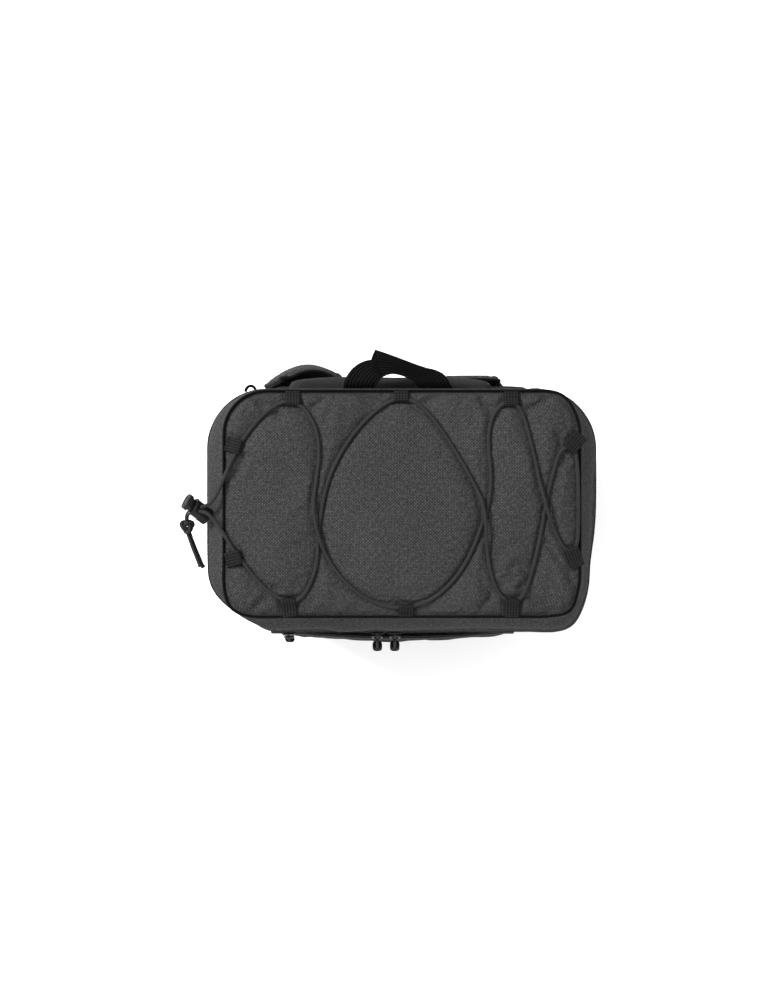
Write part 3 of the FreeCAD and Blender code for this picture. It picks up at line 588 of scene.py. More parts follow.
def moulded(name, level, roughness, grain=900.0, metallic=0.0, scuff=0.25):
    """Moulded or painted hard parts: fine grain, with lighter scuffs where the surface is rubbed."""
    look = Look(name, roughness, metallic, specular=0.16)
    at = look.coordinates("Object")
    fine = look.noise(at, grain, 3.0, 0.6)
    broad = look.noise(at, 70.0, 4.0, 0.6)
    rubbed = look.times(look.math("GREATER_THAN", look.times(fine, broad), 0.33), scuff)
    tone = look.mix(rubbed, grey(level), grey(min(1.0, level * 2.2 + 0.01)))
    rough = look.span(look.math("ADD", look.times(fine, 0.5), look.times(broad, 0.5)),
                      roughness - 0.14, roughness + 0.14)
    look.finish(tone, fine, 0.00008, 0.5, rough)


def braided(name, light, dark, pitch):
    """Braided cover: yarns crossing on the slant."""
    look = Look(name, 0.6, specular=0.04)
    uv = look.coordinates()
    u, v, _ = look.split(uv)
    one = look.wave(look.math("ADD", v, u), pitch)
    two = look.wave(look.math("SUBTRACT", v, u), pitch)
    height = look.math("MAXIMUM", look.math("ABSOLUTE", one), look.math("ABSOLUTE", two))
    fuzz = look.noise(uv, 1800.0, 2.0)
    # Painted highlight and shade: the yarn crowns are coloured light and the crossings between them dark.
    tone = look.mix(look.times(look.math("POWER", height, 2.0), fuzz), dark, light)
    tone = look.scale_colour(tone, look.span(look.noise(uv, 40.0, 2.0), 0.8, 1.2))
    look.finish(tone, height, 0.0002, 0.8)


def spongy(name, colour):
    """Cut foam with small open cells."""
    look = Look(name, 0.95, specular=0.2)
    at = look.coordinates("Object")
    pore = look.math("MINIMUM", look.times(look.cells(at, 900.0), 1.7), 1.0)
    shade = look.times(look.span(pore, 0.55, 1.0), look.span(look.noise(at, 18.0, 3.0), 0.85, 1.1))
    look.finish(look.scale_colour(colour, shade), pore, 0.0004, 0.6)


woven("lid_fabric", grey(0.062), grey(0.004), 0.00135, patchy_tone=0.2, valley_shade=0.62)
woven("body_fabric", grey(0.061), grey(0.003), 0.00135, patchy_tone=0.16, valley_shade=0.6)
woven("base_fabric", grey(0.020), grey(0.004), 0.0016, roughness=0.7)
woven("yoke_padding", grey(0.040), grey(0.010), 0.0008)
woven("lining", grey(0.16), grey(0.10), 0.0005, roughness=0.6, depth=0.0001, patchy_tone=0.06,
      valley_shade=0.2)
ribbed("binding", grey(0.0045), grey(0.0012), 0.0006)
ribbed("webbing", grey(0.009), grey(0.0008), 0.0016, 0.8, column=0.0027, gap=0.2)
ribbed("tab_webbing", grey(0.034), grey(0.0015), 0.0016, column=0.0026, gap=0.15)
ribbed("zipper_tape", grey(0.006), grey(0.0015), 0.0007, 0.5, 0.75, 0.00015)
airy("mesh_padding", grey(0.022), grey(0.003), 0.0026)
moulded("zipper_coil", 0.004, 0.38, scuff=0.15)
moulded("hard_plastic", 0.006, 0.42)
moulded("slider_metal", 0.02, 0.36, metallic=0.6, scuff=0.4)
moulded("spring_steel", 0.45, 0.3, metallic=1.0, scuff=0.2)
braided("bungee", grey(0.042), grey(0.006), 0.0013)
braided("pull_cord", grey(0.012), grey(0.002), 0.0009)
moulded("board", 0.05, 0.6, 500.0)
spongy("foam", grey(0.09))
moulded("thread", 0.008, 0.65, 2500.0, scuff=0.5)

# ---------------------------------------------------------------- floor and light

FLOOR_REACH = 150000
floor_corners = [(FLOOR_REACH * x, FLOOR_REACH * y, 0) for x, y in ((-1, -1), (1, -1), (1, 1), (-1, 1))]
floor = bpy.data.objects.new("floor", make_mesh("floor", floor_corners, [[0, 1, 2, 3]]))
scene.collection.objects.link(floor)
paper = Look("floor_paper", 0.9, specular=0.1)
paper.finish(paper.mix(paper.noise(paper.coordinates("Object"), 3.0), grey(0.945), grey(0.955)))
floor.data.materials.append(paper.material)

scene.world = bpy.data.worlds.new("studio")
scene.world.use_nodes = True
sky = scene.world.node_tree
way_out = sky.nodes.new("ShaderNodeTexCoord")
facing = sky.nodes.new("ShaderNodeVectorMath")
facing.operation = "DOT_PRODUCT"
facing.inputs[1].default_value = (-0.62, 0.42, 0.66)
shade = sky.nodes.new("ShaderNodeMapRange")
for key, value in (("From Min", -0.4), ("From Max", 1.0), ("To Min", 0.75), ("To Max", 1.5)):
    shade.inputs[key].default_value = value
sky.links.new(way_out.outputs["Generated"], facing.inputs[0])
sky.links.new(facing.outputs["Value"], shade.inputs["Value"])
sky.links.new(shade.outputs["Result"], sky.nodes["Background"].inputs["Strength"])
sky.nodes["Background"].inputs["Color"].default_value = (1.0, 1.0, 1.0, 1.0)


def soft_light(name, place, aim, size, power):
    """A large square lamp turned towards a point."""
    lamp = bpy.data.objects.new(name, bpy.data.lights.new(name, "AREA"))
    lamp.data.size = size
    lamp.data.energy = power
    lamp.location = place
    lamp.rotation_euler = (Vector(aim) - Vector(place)).to_track_quat("-Z", "Y").to_euler()
    scene.collection.objects.link(lamp)


soft_light("key", (-1.5, 1.1, 2.0), (0, 0, 0.4), 0.8, 105.0)
soft_light("fill", (1.5, -2.1, 1.0), (0, 0, 0.2), 1.6, 52.0)

# ---------------------------------------------------------------- cords

CORD_Z = 428.7
LACING_ROUTE = [
    (-192.7, -11, 396.5), (-193.2, -4.7, 398.6), (-187.8, 1.9, 407), (-172, 3.5, 427.6), (-163.7, 12, 430),
    (-156.2, 30, 430), (-147.7, 49), (-139.7, 63.5), (-127.7, 79), (-113.7, 92), (-101.7, 97), (-90.2, 94),
    (-80.7, 84), (-73.7, 67), (-72.7, 47), (-75.7, 26), (-78, 8, 429.7), (-77.3, -6, 433.5),
    (-72.7, -25, 433.5), (-66.2, -41), (-53.2, -60), (-36.7, -74.5), (-18.2, -83), (-2.7, -85.5),
    (11.3, -84), (27.3, -77.5), (43.3, -64), (56.8, -45.5), (66.3, -24), (72.8, -6), (77.8, 14), (78.3, 36),
    (75.8, 56), (76.8, 75), (82.3, 89), (91.3, 96), (101.8, 94), (107.8, 82), (112.8, 63), (117.8, 43),
    (120.8, 26, 429.7), (123.6, 16, 433.5), (129.3, -6, 433.5), (134.8, -18), (139.3, -28), (144.8, -35),
    (151.8, -34.5), (154.4, -27), (155.1, -12), (155.2, 8), (154.8, 28), (153.9, 44.5), (151.9, 53.5),
    (146.1, 56.6), (140.5, 53.6), (136.6, 46.5), (133.5, 35), (129.3, 20), (126.3, 4), (123.3, -14),
    (119.3, -34), (114.3, -54), (108.8, -71), (101.8, -80), (91.3, -79.5), (82.8, -69.5), (77.3, -52),
    (74.6, -34, 429.7), (74.3, -17, 433.5), (71.3, 7, 433.5), (64.8, 21), (54.3, 40.5), (42.3, 60),
    (29.3, 79), (15.8, 93.5), (5.3, 98.5), (-6.7, 98.5), (-19.7, 91), (-34.7, 77.5), (-48.7, 59.5),
    (-59.7, 40), (-67.2, 20), (-71.2, -1), (-73.7, -20), (-74, -40), (-77.7, -58), (-85.7, -74),
    (-94.7, -80.5), (-106.2, -78.5), (-118.7, -70), (-130.2, -58), (-139.2, -46), (-148.2, -35),
    (-156.7, -20, 430), (-165.2, -8, 430), (-173.6, 0.1, 429), (-189.4, -1.5, 408.4), (-192.3, -6, 401.5),
    (-191.7, -10, 397.5),
]
LACING = [tuple(round(v * MM, 7) for v in (*spot, CORD_Z)[:3]) for spot in LACING_ROUTE]
TAILS = [
    [(-0.1927, -0.0175, 0.394), (-0.1893, -0.0285, 0.3922), (-0.185, -0.0405, 0.39),
     (-0.181, -0.0505, 0.3884)],
    [(-0.1915, -0.0169, 0.391), (-0.1883, -0.0274, 0.3893), (-0.1836, -0.039, 0.3875),
     (-0.1785, -0.0515, 0.3862)],
]
CORD_RADIUS = 1.65
KNOT = np.array([-192.2, -14.0, 395.0])
KNOT_SIZE = 1.9


def follow(name, points):
    """The line of a NURBS route through the given control points, in millimetres."""
    data = bpy.data.curves.new(name, "CURVE")
    data.dimensions = "3D"
    data.resolution_u = 16
    spline = data.splines.new("NURBS")
    spline.points.add(len(points) - 1)
    for point, place in zip(spline.points, points):
        point.co = (*place, 1.0)
    spline.order_u = 3
    spline.use_endpoint_u = True
    route = bpy.data.objects.new(name, data)
    drawn = bpy.data.meshes.new_from_object(route)
    line = np.array([vertex.co[:] for vertex in drawn.vertices]) / MM
    bpy.data.objects.remove(route)
    bpy.data.curves.remove(data)
    bpy.data.meshes.remove(drawn)
    return line


def yarns(turn, length):
    """The raised yarns of a braided cover."""
    slant = math.pi / 2.8
    one, two = np.sin(3 * turn + slant * length), np.sin(3 * turn - slant * length)
    return 0.1 * np.maximum(np.abs(one), np.abs(two))


def cord_piece(name, line, body, node, ends=0.0):
    """A braided cord along a line; ends flares its far end as a melted tip."""
    line = even(line, 0.7)
    left = np.linalg.norm(line - line[-1], axis=1)
    radius = CORD_RADIUS - 0.06 + ends * np.exp(-((left - 0.9) / 0.9) ** 2)
    return add_rings(name, rod(line, radius, 14, yarns), body, "bungee", node)


cord_line = follow("lacing_route", LACING)
lacing = cord_piece("lacing_cord", cord_line, "lid", "bungee_cord")

turn = circle(150)
strands = []
for lead, height in ((0.0, 1.2), (math.pi / 3, -1.2)):
    knot_line = np.column_stack([KNOT_SIZE * (np.sin(turn) * math.cos(lead) + 2 * np.sin(2 * turn + lead)),
                                 KNOT_SIZE * (np.cos(turn) * math.cos(lead) - 2 * np.cos(2 * turn + lead)),
                                 height - 1.8 * np.sin(3 * turn)])
    tube = rod(closed(knot_line), CORD_RADIUS - 0.05, 14, yarns)[:-1] + KNOT
    strands.append(grid("strand", tube, wrap_u=True, wrap_v=True))
knot = add(merged("lacing_knot", strands), "lid", "bungee", "bungee_knot")
for number, (points, length) in enumerate(zip(TAILS, (0.036, 0.0375))):
    tail_line = follow("tail_route", points)
    tail = cord_piece(f"lacing_tail_{number}", tail_line, "lid", "bungee_tails", 0.5)

# ---------------------------------------------------------------- tabs

TABS = {
    "tab_rear_left": ((-96.2, 104.0), (-96.2, 96.8)),
    "tab_rear_centre": ((-0.7, 104.3), (-0.7, 98.6)),
    "tab_rear_right": ((96.3, 103.8), (96.3, 95.5)),
    "tab_front_left": ((-98.7, -92.0), (-100.2, -79.8)),
    "tab_front_centre": ((3.8, -91.8), (3.8, -85.0)),
    "tab_front_right": ((96.8, -92.0), (96.8, -81.0)),
    "tab_left_rear": ((-153.7, 59.0), (-144.0, 56.3)),
    "tab_left_front": ((-153.7, -43.5), (-143.9, -40.8)),
    "tab_right_rear": ((157.3, 65.6), (148.8, 56.2)),
    "tab_right_front": ((154.6, -48.0), (149.3, -35.0)),
}
tab_lines = []
for name, (root, hold) in TABS.items():
    root, hold = np.array(root), np.array(hold)
    way = unit(hold - root)
    across = np.array([-way[1], way[0], 0.0])
    off_line = np.abs((cord_line[:, :2] - root) @ across[:2])
    ahead = (cord_line[:, :2] - root) @ way
    beside = (off_line < 1.2) & (np.abs(ahead - (hold - root) @ way) < 6) & (cord_line[:, 2] < 430.5)
    reach = float(ahead[beside].mean())
    middle_z = float(cord_line[beside, 2].mean())
    arc = np.radians(np.arange(-90, 91, 15))
    profile = [(-1.5, -2.6)] + [(reach + 2.4 * math.cos(a), 2.4 * math.sin(a)) for a in arc]
    profile += [(reach - 3.5, 1.1), (reach * 0.35, -1.2), (-1.5, -1.4)]
    profile = rounded_line(profile, 2)
    line = np.column_stack([root + profile[:, :1] * way, middle_z + profile[:, 1]])
    add(webbing(name + "_loop", line, across, 13.0, 0.95, 1.25, 0.13, 9), "lid", "tab_webbing", name)
    tab_lines.append((root, way, reach))
    bar = np.array([[*(root + way * 2.2), middle_z - 0.75]])
    for step in (0.0, 1.1):
        along = bar + np.append(way * step, 0) + np.linspace(-5.2, 5.2, 12)[:, None] * across
        sew("lid", along, (0, 0, 1), 2.6, 0.12)

# ---------------------------------------------------------------- lid

LID_SECTIONS = [(384.0, 172.4, -106.6, 107.2, 51.0), (405.0, 170.8, -105.6, 106.4, 49.0),
                (424.0, 156.0, -92.5, 104.7, 37.0)]
BODY = (174.0, -108.0, 108.0, 52.0)


def lid_size(z):
    """Half width, front, back and corner radius of the lid at a height, with its waist rounded off."""
    heights = [s[0] for s in LID_SECTIONS]
    around = z + np.linspace(-7, 7, 9)
    return [float(np.mean(np.interp(around, heights, [s[k] for s in LID_SECTIONS]))) for k in (1, 2, 3, 4)]


def slump(points):
    """The soft corners out of true: each pull is (where, its middle, its reach, its way)."""
    x, y, z = points[..., 0], points[..., 1], points[..., 2]
    side, top = ease(z, 230, 350) * (1 - ease(z, 408, 425)) * ease(np.abs(x), 110, 136), ease(z, 412, 424)
    moved = points.copy()
    for height, px, py, reach, dx, dy in ((side, -150, -98, 36, 4.4, 6.6), (side, 168, -58, 34, -6.0, 0.0),
                                          (side, 149, -102, 20, 3.2, -3.4), (top, 147, -86, 15, 3.5, -4.8),
                                          (top, -150, -86, 20, -4.2, -4.2), (top, 143, 102, 16, 1.5, 2.5)):
        amount = height * np.exp(-((x - px) ** 2 + (y - py) ** 2) / reach ** 2)
        moved[..., 0] += amount * dx
        moved[..., 1] += amount * dy
    return moved


# How far in from the outline the rings of both linings end; a flat face closes the rest.
LINING_END = 98


def nested(profile, size, move=None):
    """A grid of rings, one for each (inset, height); size gives the uninset outline at a height."""
    rows, ways = [], []
    for inset, z in profile:
        half, front, back, corner = size(z) if callable(size) else size
        at, way = ring(half - inset, front + inset, back - inset, max(corner - inset, 1.5))
        rows.append(np.column_stack([at, np.full(len(at), float(z))]))
        ways.append(way)
    points = np.array(rows)
    if move is not None:
        points[:, :, :2] += np.array(ways) * move(points)[:, :, None]
    return slump(points)


def lid_edge(x, y, half=156.0, front=-92.5, back=104.7, corner=37.0):
    """Distance in from the lid's top seam."""
    qx = np.abs(x) - (half - corner)
    qy = np.abs(y - (front + back) / 2) - ((back - front) / 2 - corner)
    outside = np.hypot(np.maximum(qx, 0), np.maximum(qy, 0))
    return corner - outside - np.minimum(np.maximum(qx, qy), 0)


def nearest(x, y, line):
    """Distance in plan from each point to a line of points."""
    flat = np.column_stack([x.ravel(), y.ravel()])
    best = np.full(len(flat), 1e9)
    for piece in np.array_split(line[:, :2], 12):
        best = np.minimum(best, np.linalg.norm(flat[:, None] - piece[None], axis=2).min(1))
    return best.reshape(x.shape)


def off_tabs(x, y):
    """Distance in plan from each point to the nearest tab."""
    best = np.full(x.shape, 1e9)
    for root, way, reach in tab_lines:
        along = (x - root[0]) * way[0] + (y - root[1]) * way[1]
        across = np.abs(-(x - root[0]) * way[1] + (y - root[1]) * way[0])
        beyond = np.maximum(np.maximum(-2 - along, along - reach - 2.0), 0)
        best = np.minimum(best, np.hypot(beyond, np.maximum(across - 6.5, 0)))
    return best


# Creases in the lid's top, as lines in plan.
LID_FOLDS = [
    [(126, -26), (138, -43), (149, -60)], [(104, -66), (116, -79), (134, -86)], [(82, 84), (70, 98)],
    [(110, 88), (126, 96)], [(-108, 84), (-126, 94)], [(-84, 86), (-70, 98)], [(14, 92), (32, 101)],
    [(-16, 92), (-34, 101)], [(-139, 48), (-146, 30)], [(86, -66), (70, -84)], [(-112, -68), (-128, -84)],
    [(143, 44), (138, 66)],
]
TAB_SEAT_Z = 425.45


def make_lid_top():
    """The padded top of the lid, quilted by the lacing that presses into it."""
    half, front, back, corner = 156.3, -92.8, 105.0, 37.2
    t = np.linspace(0, 1, 86)
    y = front + (back - front) * (t - 0.6 / (2 * math.pi) * np.sin(2 * math.pi * t))
    rise = np.maximum(np.maximum(front + corner - y, y - back + corner), 0)
    width = half - corner + np.sqrt(np.maximum(corner ** 2 - rise ** 2, 0))
    x = np.linspace(-1, 1, 112)[None] * width[:, None]
    y = np.repeat(y[:, None], 112, 1)
    lace = even(cord_line[cord_line[:, 2] < 431.5], 1.5)
    lace = lace[lid_edge(lace[:, 0], lace[:, 1]) > 0]
    edge, cord_gap, tab_gap = lid_edge(x, y), nearest(x, y, lace), off_tabs(x, y)
    puff = 5.0 * (1 - np.exp(-np.maximum(cord_gap - 1.8, 0) / 8.0))
    puff = puff * (1 - np.exp(-np.maximum(edge - 3, 0) / 8.0))
    z = 425.3 + 1.5 * ease(edge, 0.5, 5) + puff
    flat = np.stack([x, y, np.zeros_like(x)], 2)
    soft = ease(cord_gap, 2, 12) * ease(edge, 3, 14)
    z += soft * (0.6 * ripple(flat, 26, 3) + 0.4 * ripple(flat * (1, 0.35, 1), 12, 5))
    near = np.hypot(x - 99, y + 56)
    z += soft * 2.0 * np.exp(-(near / 26) ** 2) * np.sin(near / 3.1 + 1.5 * np.arctan2(y + 56, x - 99))
    for fold in LID_FOLDS:
        valley = nearest(x, y, even(np.array([(*spot, 0.0) for spot in fold]), 1.0))
        z -= 3.2 * np.exp(-(valley / 4.0) ** 2) * ease(cord_gap, 1.5, 6) * ease(edge, 1, 6)
    z = TAB_SEAT_Z + (z - TAB_SEAT_Z) * ease(tab_gap, -0.5, 5.5)
    points = np.stack([x, y, z], 2)
    pinned = (edge < 2.5) | (cord_gap < 2.4) | (tab_gap < 0.6)
    points = relax(points, False, 1.2, 1.1, pinned, -0.02)
    points[..., 2] = np.maximum(points[..., 2], 424.5)
    points = finer(points)
    gap = nearest(points[..., 0], points[..., 1], lace)
    points[..., 2] = np.where(gap < 2.2, np.minimum(points[..., 2], 426.95), points[..., 2])
    points = slump(points)
    cover = add(grid("lid_cover", points), "lid", "lid_fabric", "lid_top_panel", facing=(0, 0, 1))


def thick(points, by):
    """A cloth's outer face and the inner face behind it, as one closed band (wrap_v)."""
    inner = points - surface_normals(points, True) * by
    return np.concatenate([points, inner[::-1]])


def make_lid_sides():
    """The lid's sloping side cloth, its hem over the zipper, seam piping, lining and edge binding."""
    def soften(points):
        z = points[..., 2]
        hem = 2.3 * (1 - ease(z, 390.5, 393.0))
        belly = 0.3 * np.sin(math.pi * np.clip((z - 392) / 33, 0, 1))
        creases = ease(z, 392, 398) * (1 - ease(z, 418, 424))
        return hem + belly + creases * (1.1 * ripple(points * (1, 1, 0.5), 42, 11)
                                        + 0.6 * ripple(points * (1, 1, 0.3), 15, 12)) - 1.0

    heights = np.concatenate([np.linspace(387.0, 393.0, 5), np.linspace(395.0, 424.6, 18)])
    outer = finer(nested([(0.0, z) for z in heights], lid_size, soften), wrap_u=True)
    add_rings("lid_side_cloth", thick(outer, 1.4), "lid", "body_fabric", "lid_gusset", loop=True)
    sew_round("lid", outer, (388.6, 391.4))
    at, _ = ring(157.0, -93.5, 105.7, 38.0)
    seam = even(closed(np.column_stack([at, np.full(len(at), 426.0)])), 2.0)[:-1]
    seam[:, 2] += 0.25 * ripple(seam, 60, 21)
    tube = rod(closed(slump(seam)), 1.3, 12, lambda turn, length: 0.06 * np.sin(length / 0.9))[:-1]
    add_rings("lid_seam_piping", tube, "lid", "binding", "lid_piping", loop=True)
    rows = [(3.4, z) for z in np.linspace(386.5, 413.5, 10)] + [(5.0, 414.6), (8.0, 415.2)]
    rows += [(i, 415.2) for i in np.linspace(14, LINING_END, 16)]
    lining = nested(rows, lid_size, lambda p: -0.7 * np.abs(ripple(p, 40, 31)) * (p[..., 2] < 414))
    mesh = grid("lid_inner_cloth", lining, wrap_u=True, flip=True)
    cap_off(mesh, lining)
    add(mesh, "lid", "lining", "lid_lining", facing=(0, 0, -1), thickness=0.5)
    bound = nested([(0.7 + 2.3 * math.cos(a), 386.2 + 1.9 * math.sin(a)) for a in circle(12)], lid_size)
    add_rings("lid_edge_binding", bound, "lid", "binding", loop=True)


def cap_off(mesh, points):
    """Closes the last ring of a grid with one flat face."""
    rows, cols = points.shape[:2]
    edit = bmesh.new()
    edit.from_mesh(mesh)
    edit.verts.ensure_lookup_table()
    last = edit.faces.new([edit.verts[(rows - 1) * cols + k] for k in range(cols)])
    last.smooth = True
    uv = edit.loops.layers.uv.active
    for loop in last.loops:
        loop[uv].uv = loop.vert.co.xy
    bmesh.ops.recalc_face_normals(edit, faces=edit.faces)
    edit.to_mesh(mesh)
    edit.free()


# ---------------------------------------------------------------- zipper

ZIP_LOW, ZIP_HIGH = 366.5, 391.5
SEWN_HINGE_Y, ZIP_END_Y = 96.0, 97.0


def u_line(behind=False):
    """The part of the body's outline in front of (or behind) the zipper's ends, with its normals."""
    at, way = ring(*BODY, 200, 120, 60)
    order = np.roll(np.arange(len(at)), len(at) // 2 if behind else 0)
    keep = order[at[order, 1] > SEWN_HINGE_Y if behind else at[order, 1] < ZIP_END_Y]
    return at[keep], way[keep]


def banded(path, loop, ripple_by=0.0):
    """A closed section of (outward, height) points carried along a plan line."""
    joined = even(np.hstack(path), 2.5)
    at, way = joined[:, :2], unit(joined[:, 2:])
    points = np.array([np.column_stack([at + way * outward, np.full(len(at), float(z))])
                       for outward, z in loop]).transpose(1, 0, 2)
    if ripple_by:
        points[..., :2] += way[:, None] * (ripple_by * ripple(points, 30, 41))[..., None]
    return slump(points)


def flat_loop(low, high, near, far, count):
    """A thin closed section from low to high, between two distances outward."""
    heights = np.linspace(low, high, count)
    return [(far, z) for z in heights] + [(near, z) for z in heights[::-1]]


def make_lid_zipper():
    """Tapes, interlocking coil teeth and the cloth hinge behind."""
    path = u_line()
    halves = (("lower", "shell", "body", ZIP_LOW, 378.4, 378.55),
              ("upper", "lid", "lid", 381.0, ZIP_HIGH, 380.85))
    for half, body, node, low, high, _ in halves:
        band = banded(path, flat_loop(low, high, 0.15, 0.85, 5))
        add_rings("lid_zip_tape_" + half, band, body, "zipper_tape", "zipper_tape_" + node)
    joined = even(np.hstack(path), TOOTH_PITCH)
    for first, (half, body, node, _, _, z) in enumerate(halves):
        spot, out = joined[first::2, :2], unit(joined[first::2, 2:])
        level = np.zeros(len(spot))
        out3 = np.column_stack([out, level])
        up = np.tile([0.0, 0.0, 1.0], (len(spot), 1))
        origin = slump(np.column_stack([spot + out * 0.75, level + z]))
        teeth = stamp("lid_zip_teeth_" + half, TOOTH, origin, up, np.cross(out3, up), out3)
        add(teeth, body, "zipper_coil", "zipper_coil_" + node)
    hinge = banded(u_line(behind=True), flat_loop(ZIP_LOW, ZIP_HIGH, 0.25, 1.35, 20), 0.15)
    cloth = add_rings("rear_hinge_cloth", hinge, None, "body_fabric", "rear_hinge_strip")
    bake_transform(cloth)


# ---------------------------------------------------------------- body


FOLD_SECTION = [(-4, -0.3), (-3.4, 0.5), (0, 0.75), (3.4, 0.5), (4, -0.3), (3.4, -0.6), (0, -0.6),
                (-3.4, -0.6)]


def make_seam_folds(outer):
    """The folded seams up the body's corners, each with two rows of stitches."""
    normals = surface_normals(outer, True)
    folds = []
    for x, side in ((-134.0, -1), (134.0, -1), (-134.0, 1), (134.0, 1)):
        column = int(np.argmin(np.abs(outer[0, :, 0] - x) + 0.5 * np.abs(outer[0, :, 1] - side * 108)))
        keep = np.flatnonzero((outer[:, column, 2] > 60.5) & (outer[:, column, 2] < 366))
        keep = keep[::max(1, len(keep) // 60)]
        line, out = outer[keep, column], normals[keep, column]
        across = np.cross(out, (0, 0, 1.0))
        base = line + out * 0.35
        strip = np.stack([base + across * w + out * h for w, h in FOLD_SECTION], 1)
        folds.append(grid("fold", strip, wrap_u=True, caps=True))
        for w in (-2.2, 2.2):
            sew("shell", base + across * w + out * 0.62, out)
    add(merged("body_seam_folds", folds), "shell", "body_fabric")


def make_body():
    """Outer cloth, seams, base, foam, lining and the binding round the mouth."""
    def swell(points):
        x, y, z = points[..., 0], points[..., 1], points[..., 2]
        side = ease(np.abs(x), 160, 173) * np.clip(1 - (y / 72) ** 2, 0, 1)
        upper = ease(z, 205, 250) * (1 - ease(z, 335, 368))
        front = ease(-y, 100, 107.5) * np.clip(1 - (x / 140) ** 2, 0, 1)
        lower = ease(z, 60, 75) * (1 - ease(z, 80, 92))
        free = ease(z, 62, 80) * (1 - ease(z, 352, 365))
        creases = 0.55 * ripple(points * (1, 1, 0.6), 60, 51) + 0.3 * ripple(points * (1, 1, 0.45), 20, 52)
        hem = 0.3 * ease(z, 364.5, 366.5)
        total = side * upper * 2.6 + front * lower * 1.5 + free * creases * 0.9 + hem - 0.5
        behind_zipper = (y < -98) & (np.abs(x) < 126) & (z > 320) & (z < 356)
        return np.where(behind_zipper, np.minimum(total, -0.3), total)

    heights = np.concatenate([np.linspace(4, 360, 74), [363, 364.5, 366, 367.5, 369.5, 371.2]])
    outer = finer(nested([(0.0, z) for z in heights], BODY, swell), wrap_u=True)
    add_rings("body_cloth", thick(outer, 1.5), "shell", "body_fabric", "outer_shell", loop=True)
    sew_round("shell", outer, (367.6, 370.2))
    make_seam_folds(outer)

    rows = [(-0.6, 4.0)] + [(-1.0, z) for z in np.linspace(5.5, 57.5, 16)] + [(-0.9, 59.4)]
    band = finer(nested(rows, BODY, lambda p: 0.5 + 0.35 * ripple(p * (1, 1, 0.5), 50, 61)), wrap_u=True)
    add_rings("base_cloth", thick(band, 1.3), "shell", "base_fabric", "base_band", loop=True)
    sew_round("shell", band, (53.5, 56.8))
    refined("base_panel", "base_underside", "shell", "base_fabric", 1.2)
    foam = [(3.4, z) for z in np.linspace(8.4, 371.4, 30)] + [(4.2, 372.0), (8.4, 372.0)]
    foam += [(9.1, z) for z in np.linspace(371.4, 8.4, 30)]
    add_rings("wall_foam", nested(foam, BODY), "shell", "foam", "foam_liner", loop=True)
    refined("lid_foam", "lid_foam_sheet", "lid", "foam", 1.5)

    rows = [(10.6, z) for z in np.linspace(373.6, 14, 60)] + [(11.6, 10.6), (15.0, 9.5)]
    rows += [(i, 9.3) for i in np.linspace(20, LINING_END, 16)]
    lining = nested(rows, BODY, lambda p: (-0.9 * np.abs(ripple(p * (1, 1, 0.6), 70, 71))
                                           - 0.4 * np.abs(ripple(p, 24, 72))) * ease(p[..., 2], 10, 14))
    mesh = grid("body_inner_cloth", lining, wrap_u=True)
    cap_off(mesh, lining)
    add(mesh, "shell", "lining", "inner_lining", facing=(0, 0, 1), thickness=0.5)

    def squarish(value, power):
        return math.copysign(abs(value) ** power, value)

    bound = nested([(5.4 + 6.2 * squarish(math.cos(a), 0.6), 372.4 + 2.9 * squarish(math.sin(a), 0.8))
                    for a in circle(16)], BODY)
    bound[..., 2] += 0.15 * ripple(bound, 40, 73)
    add_rings("mouth_binding", bound, "shell", "binding", loop=True)
    sew("shell", closed(nested([(3.4, 375.25)], BODY)[0]), (0, 0, 1))


# ---------------------------------------------------------------- front pocket

POCKET_MIDDLE = -8.0
POCKET_HALF = 115
SLOPE = math.radians(15)


def pocket_bulge(x, z):
    """How far the pocket's middle stands out beyond its ends."""
    across = np.clip(1 - ((x + 4) / 100) ** 2, 0, 1)
    return 5.4 * across * ease(z, 92, 150) * (1 - ease(z, 341.5, 350))


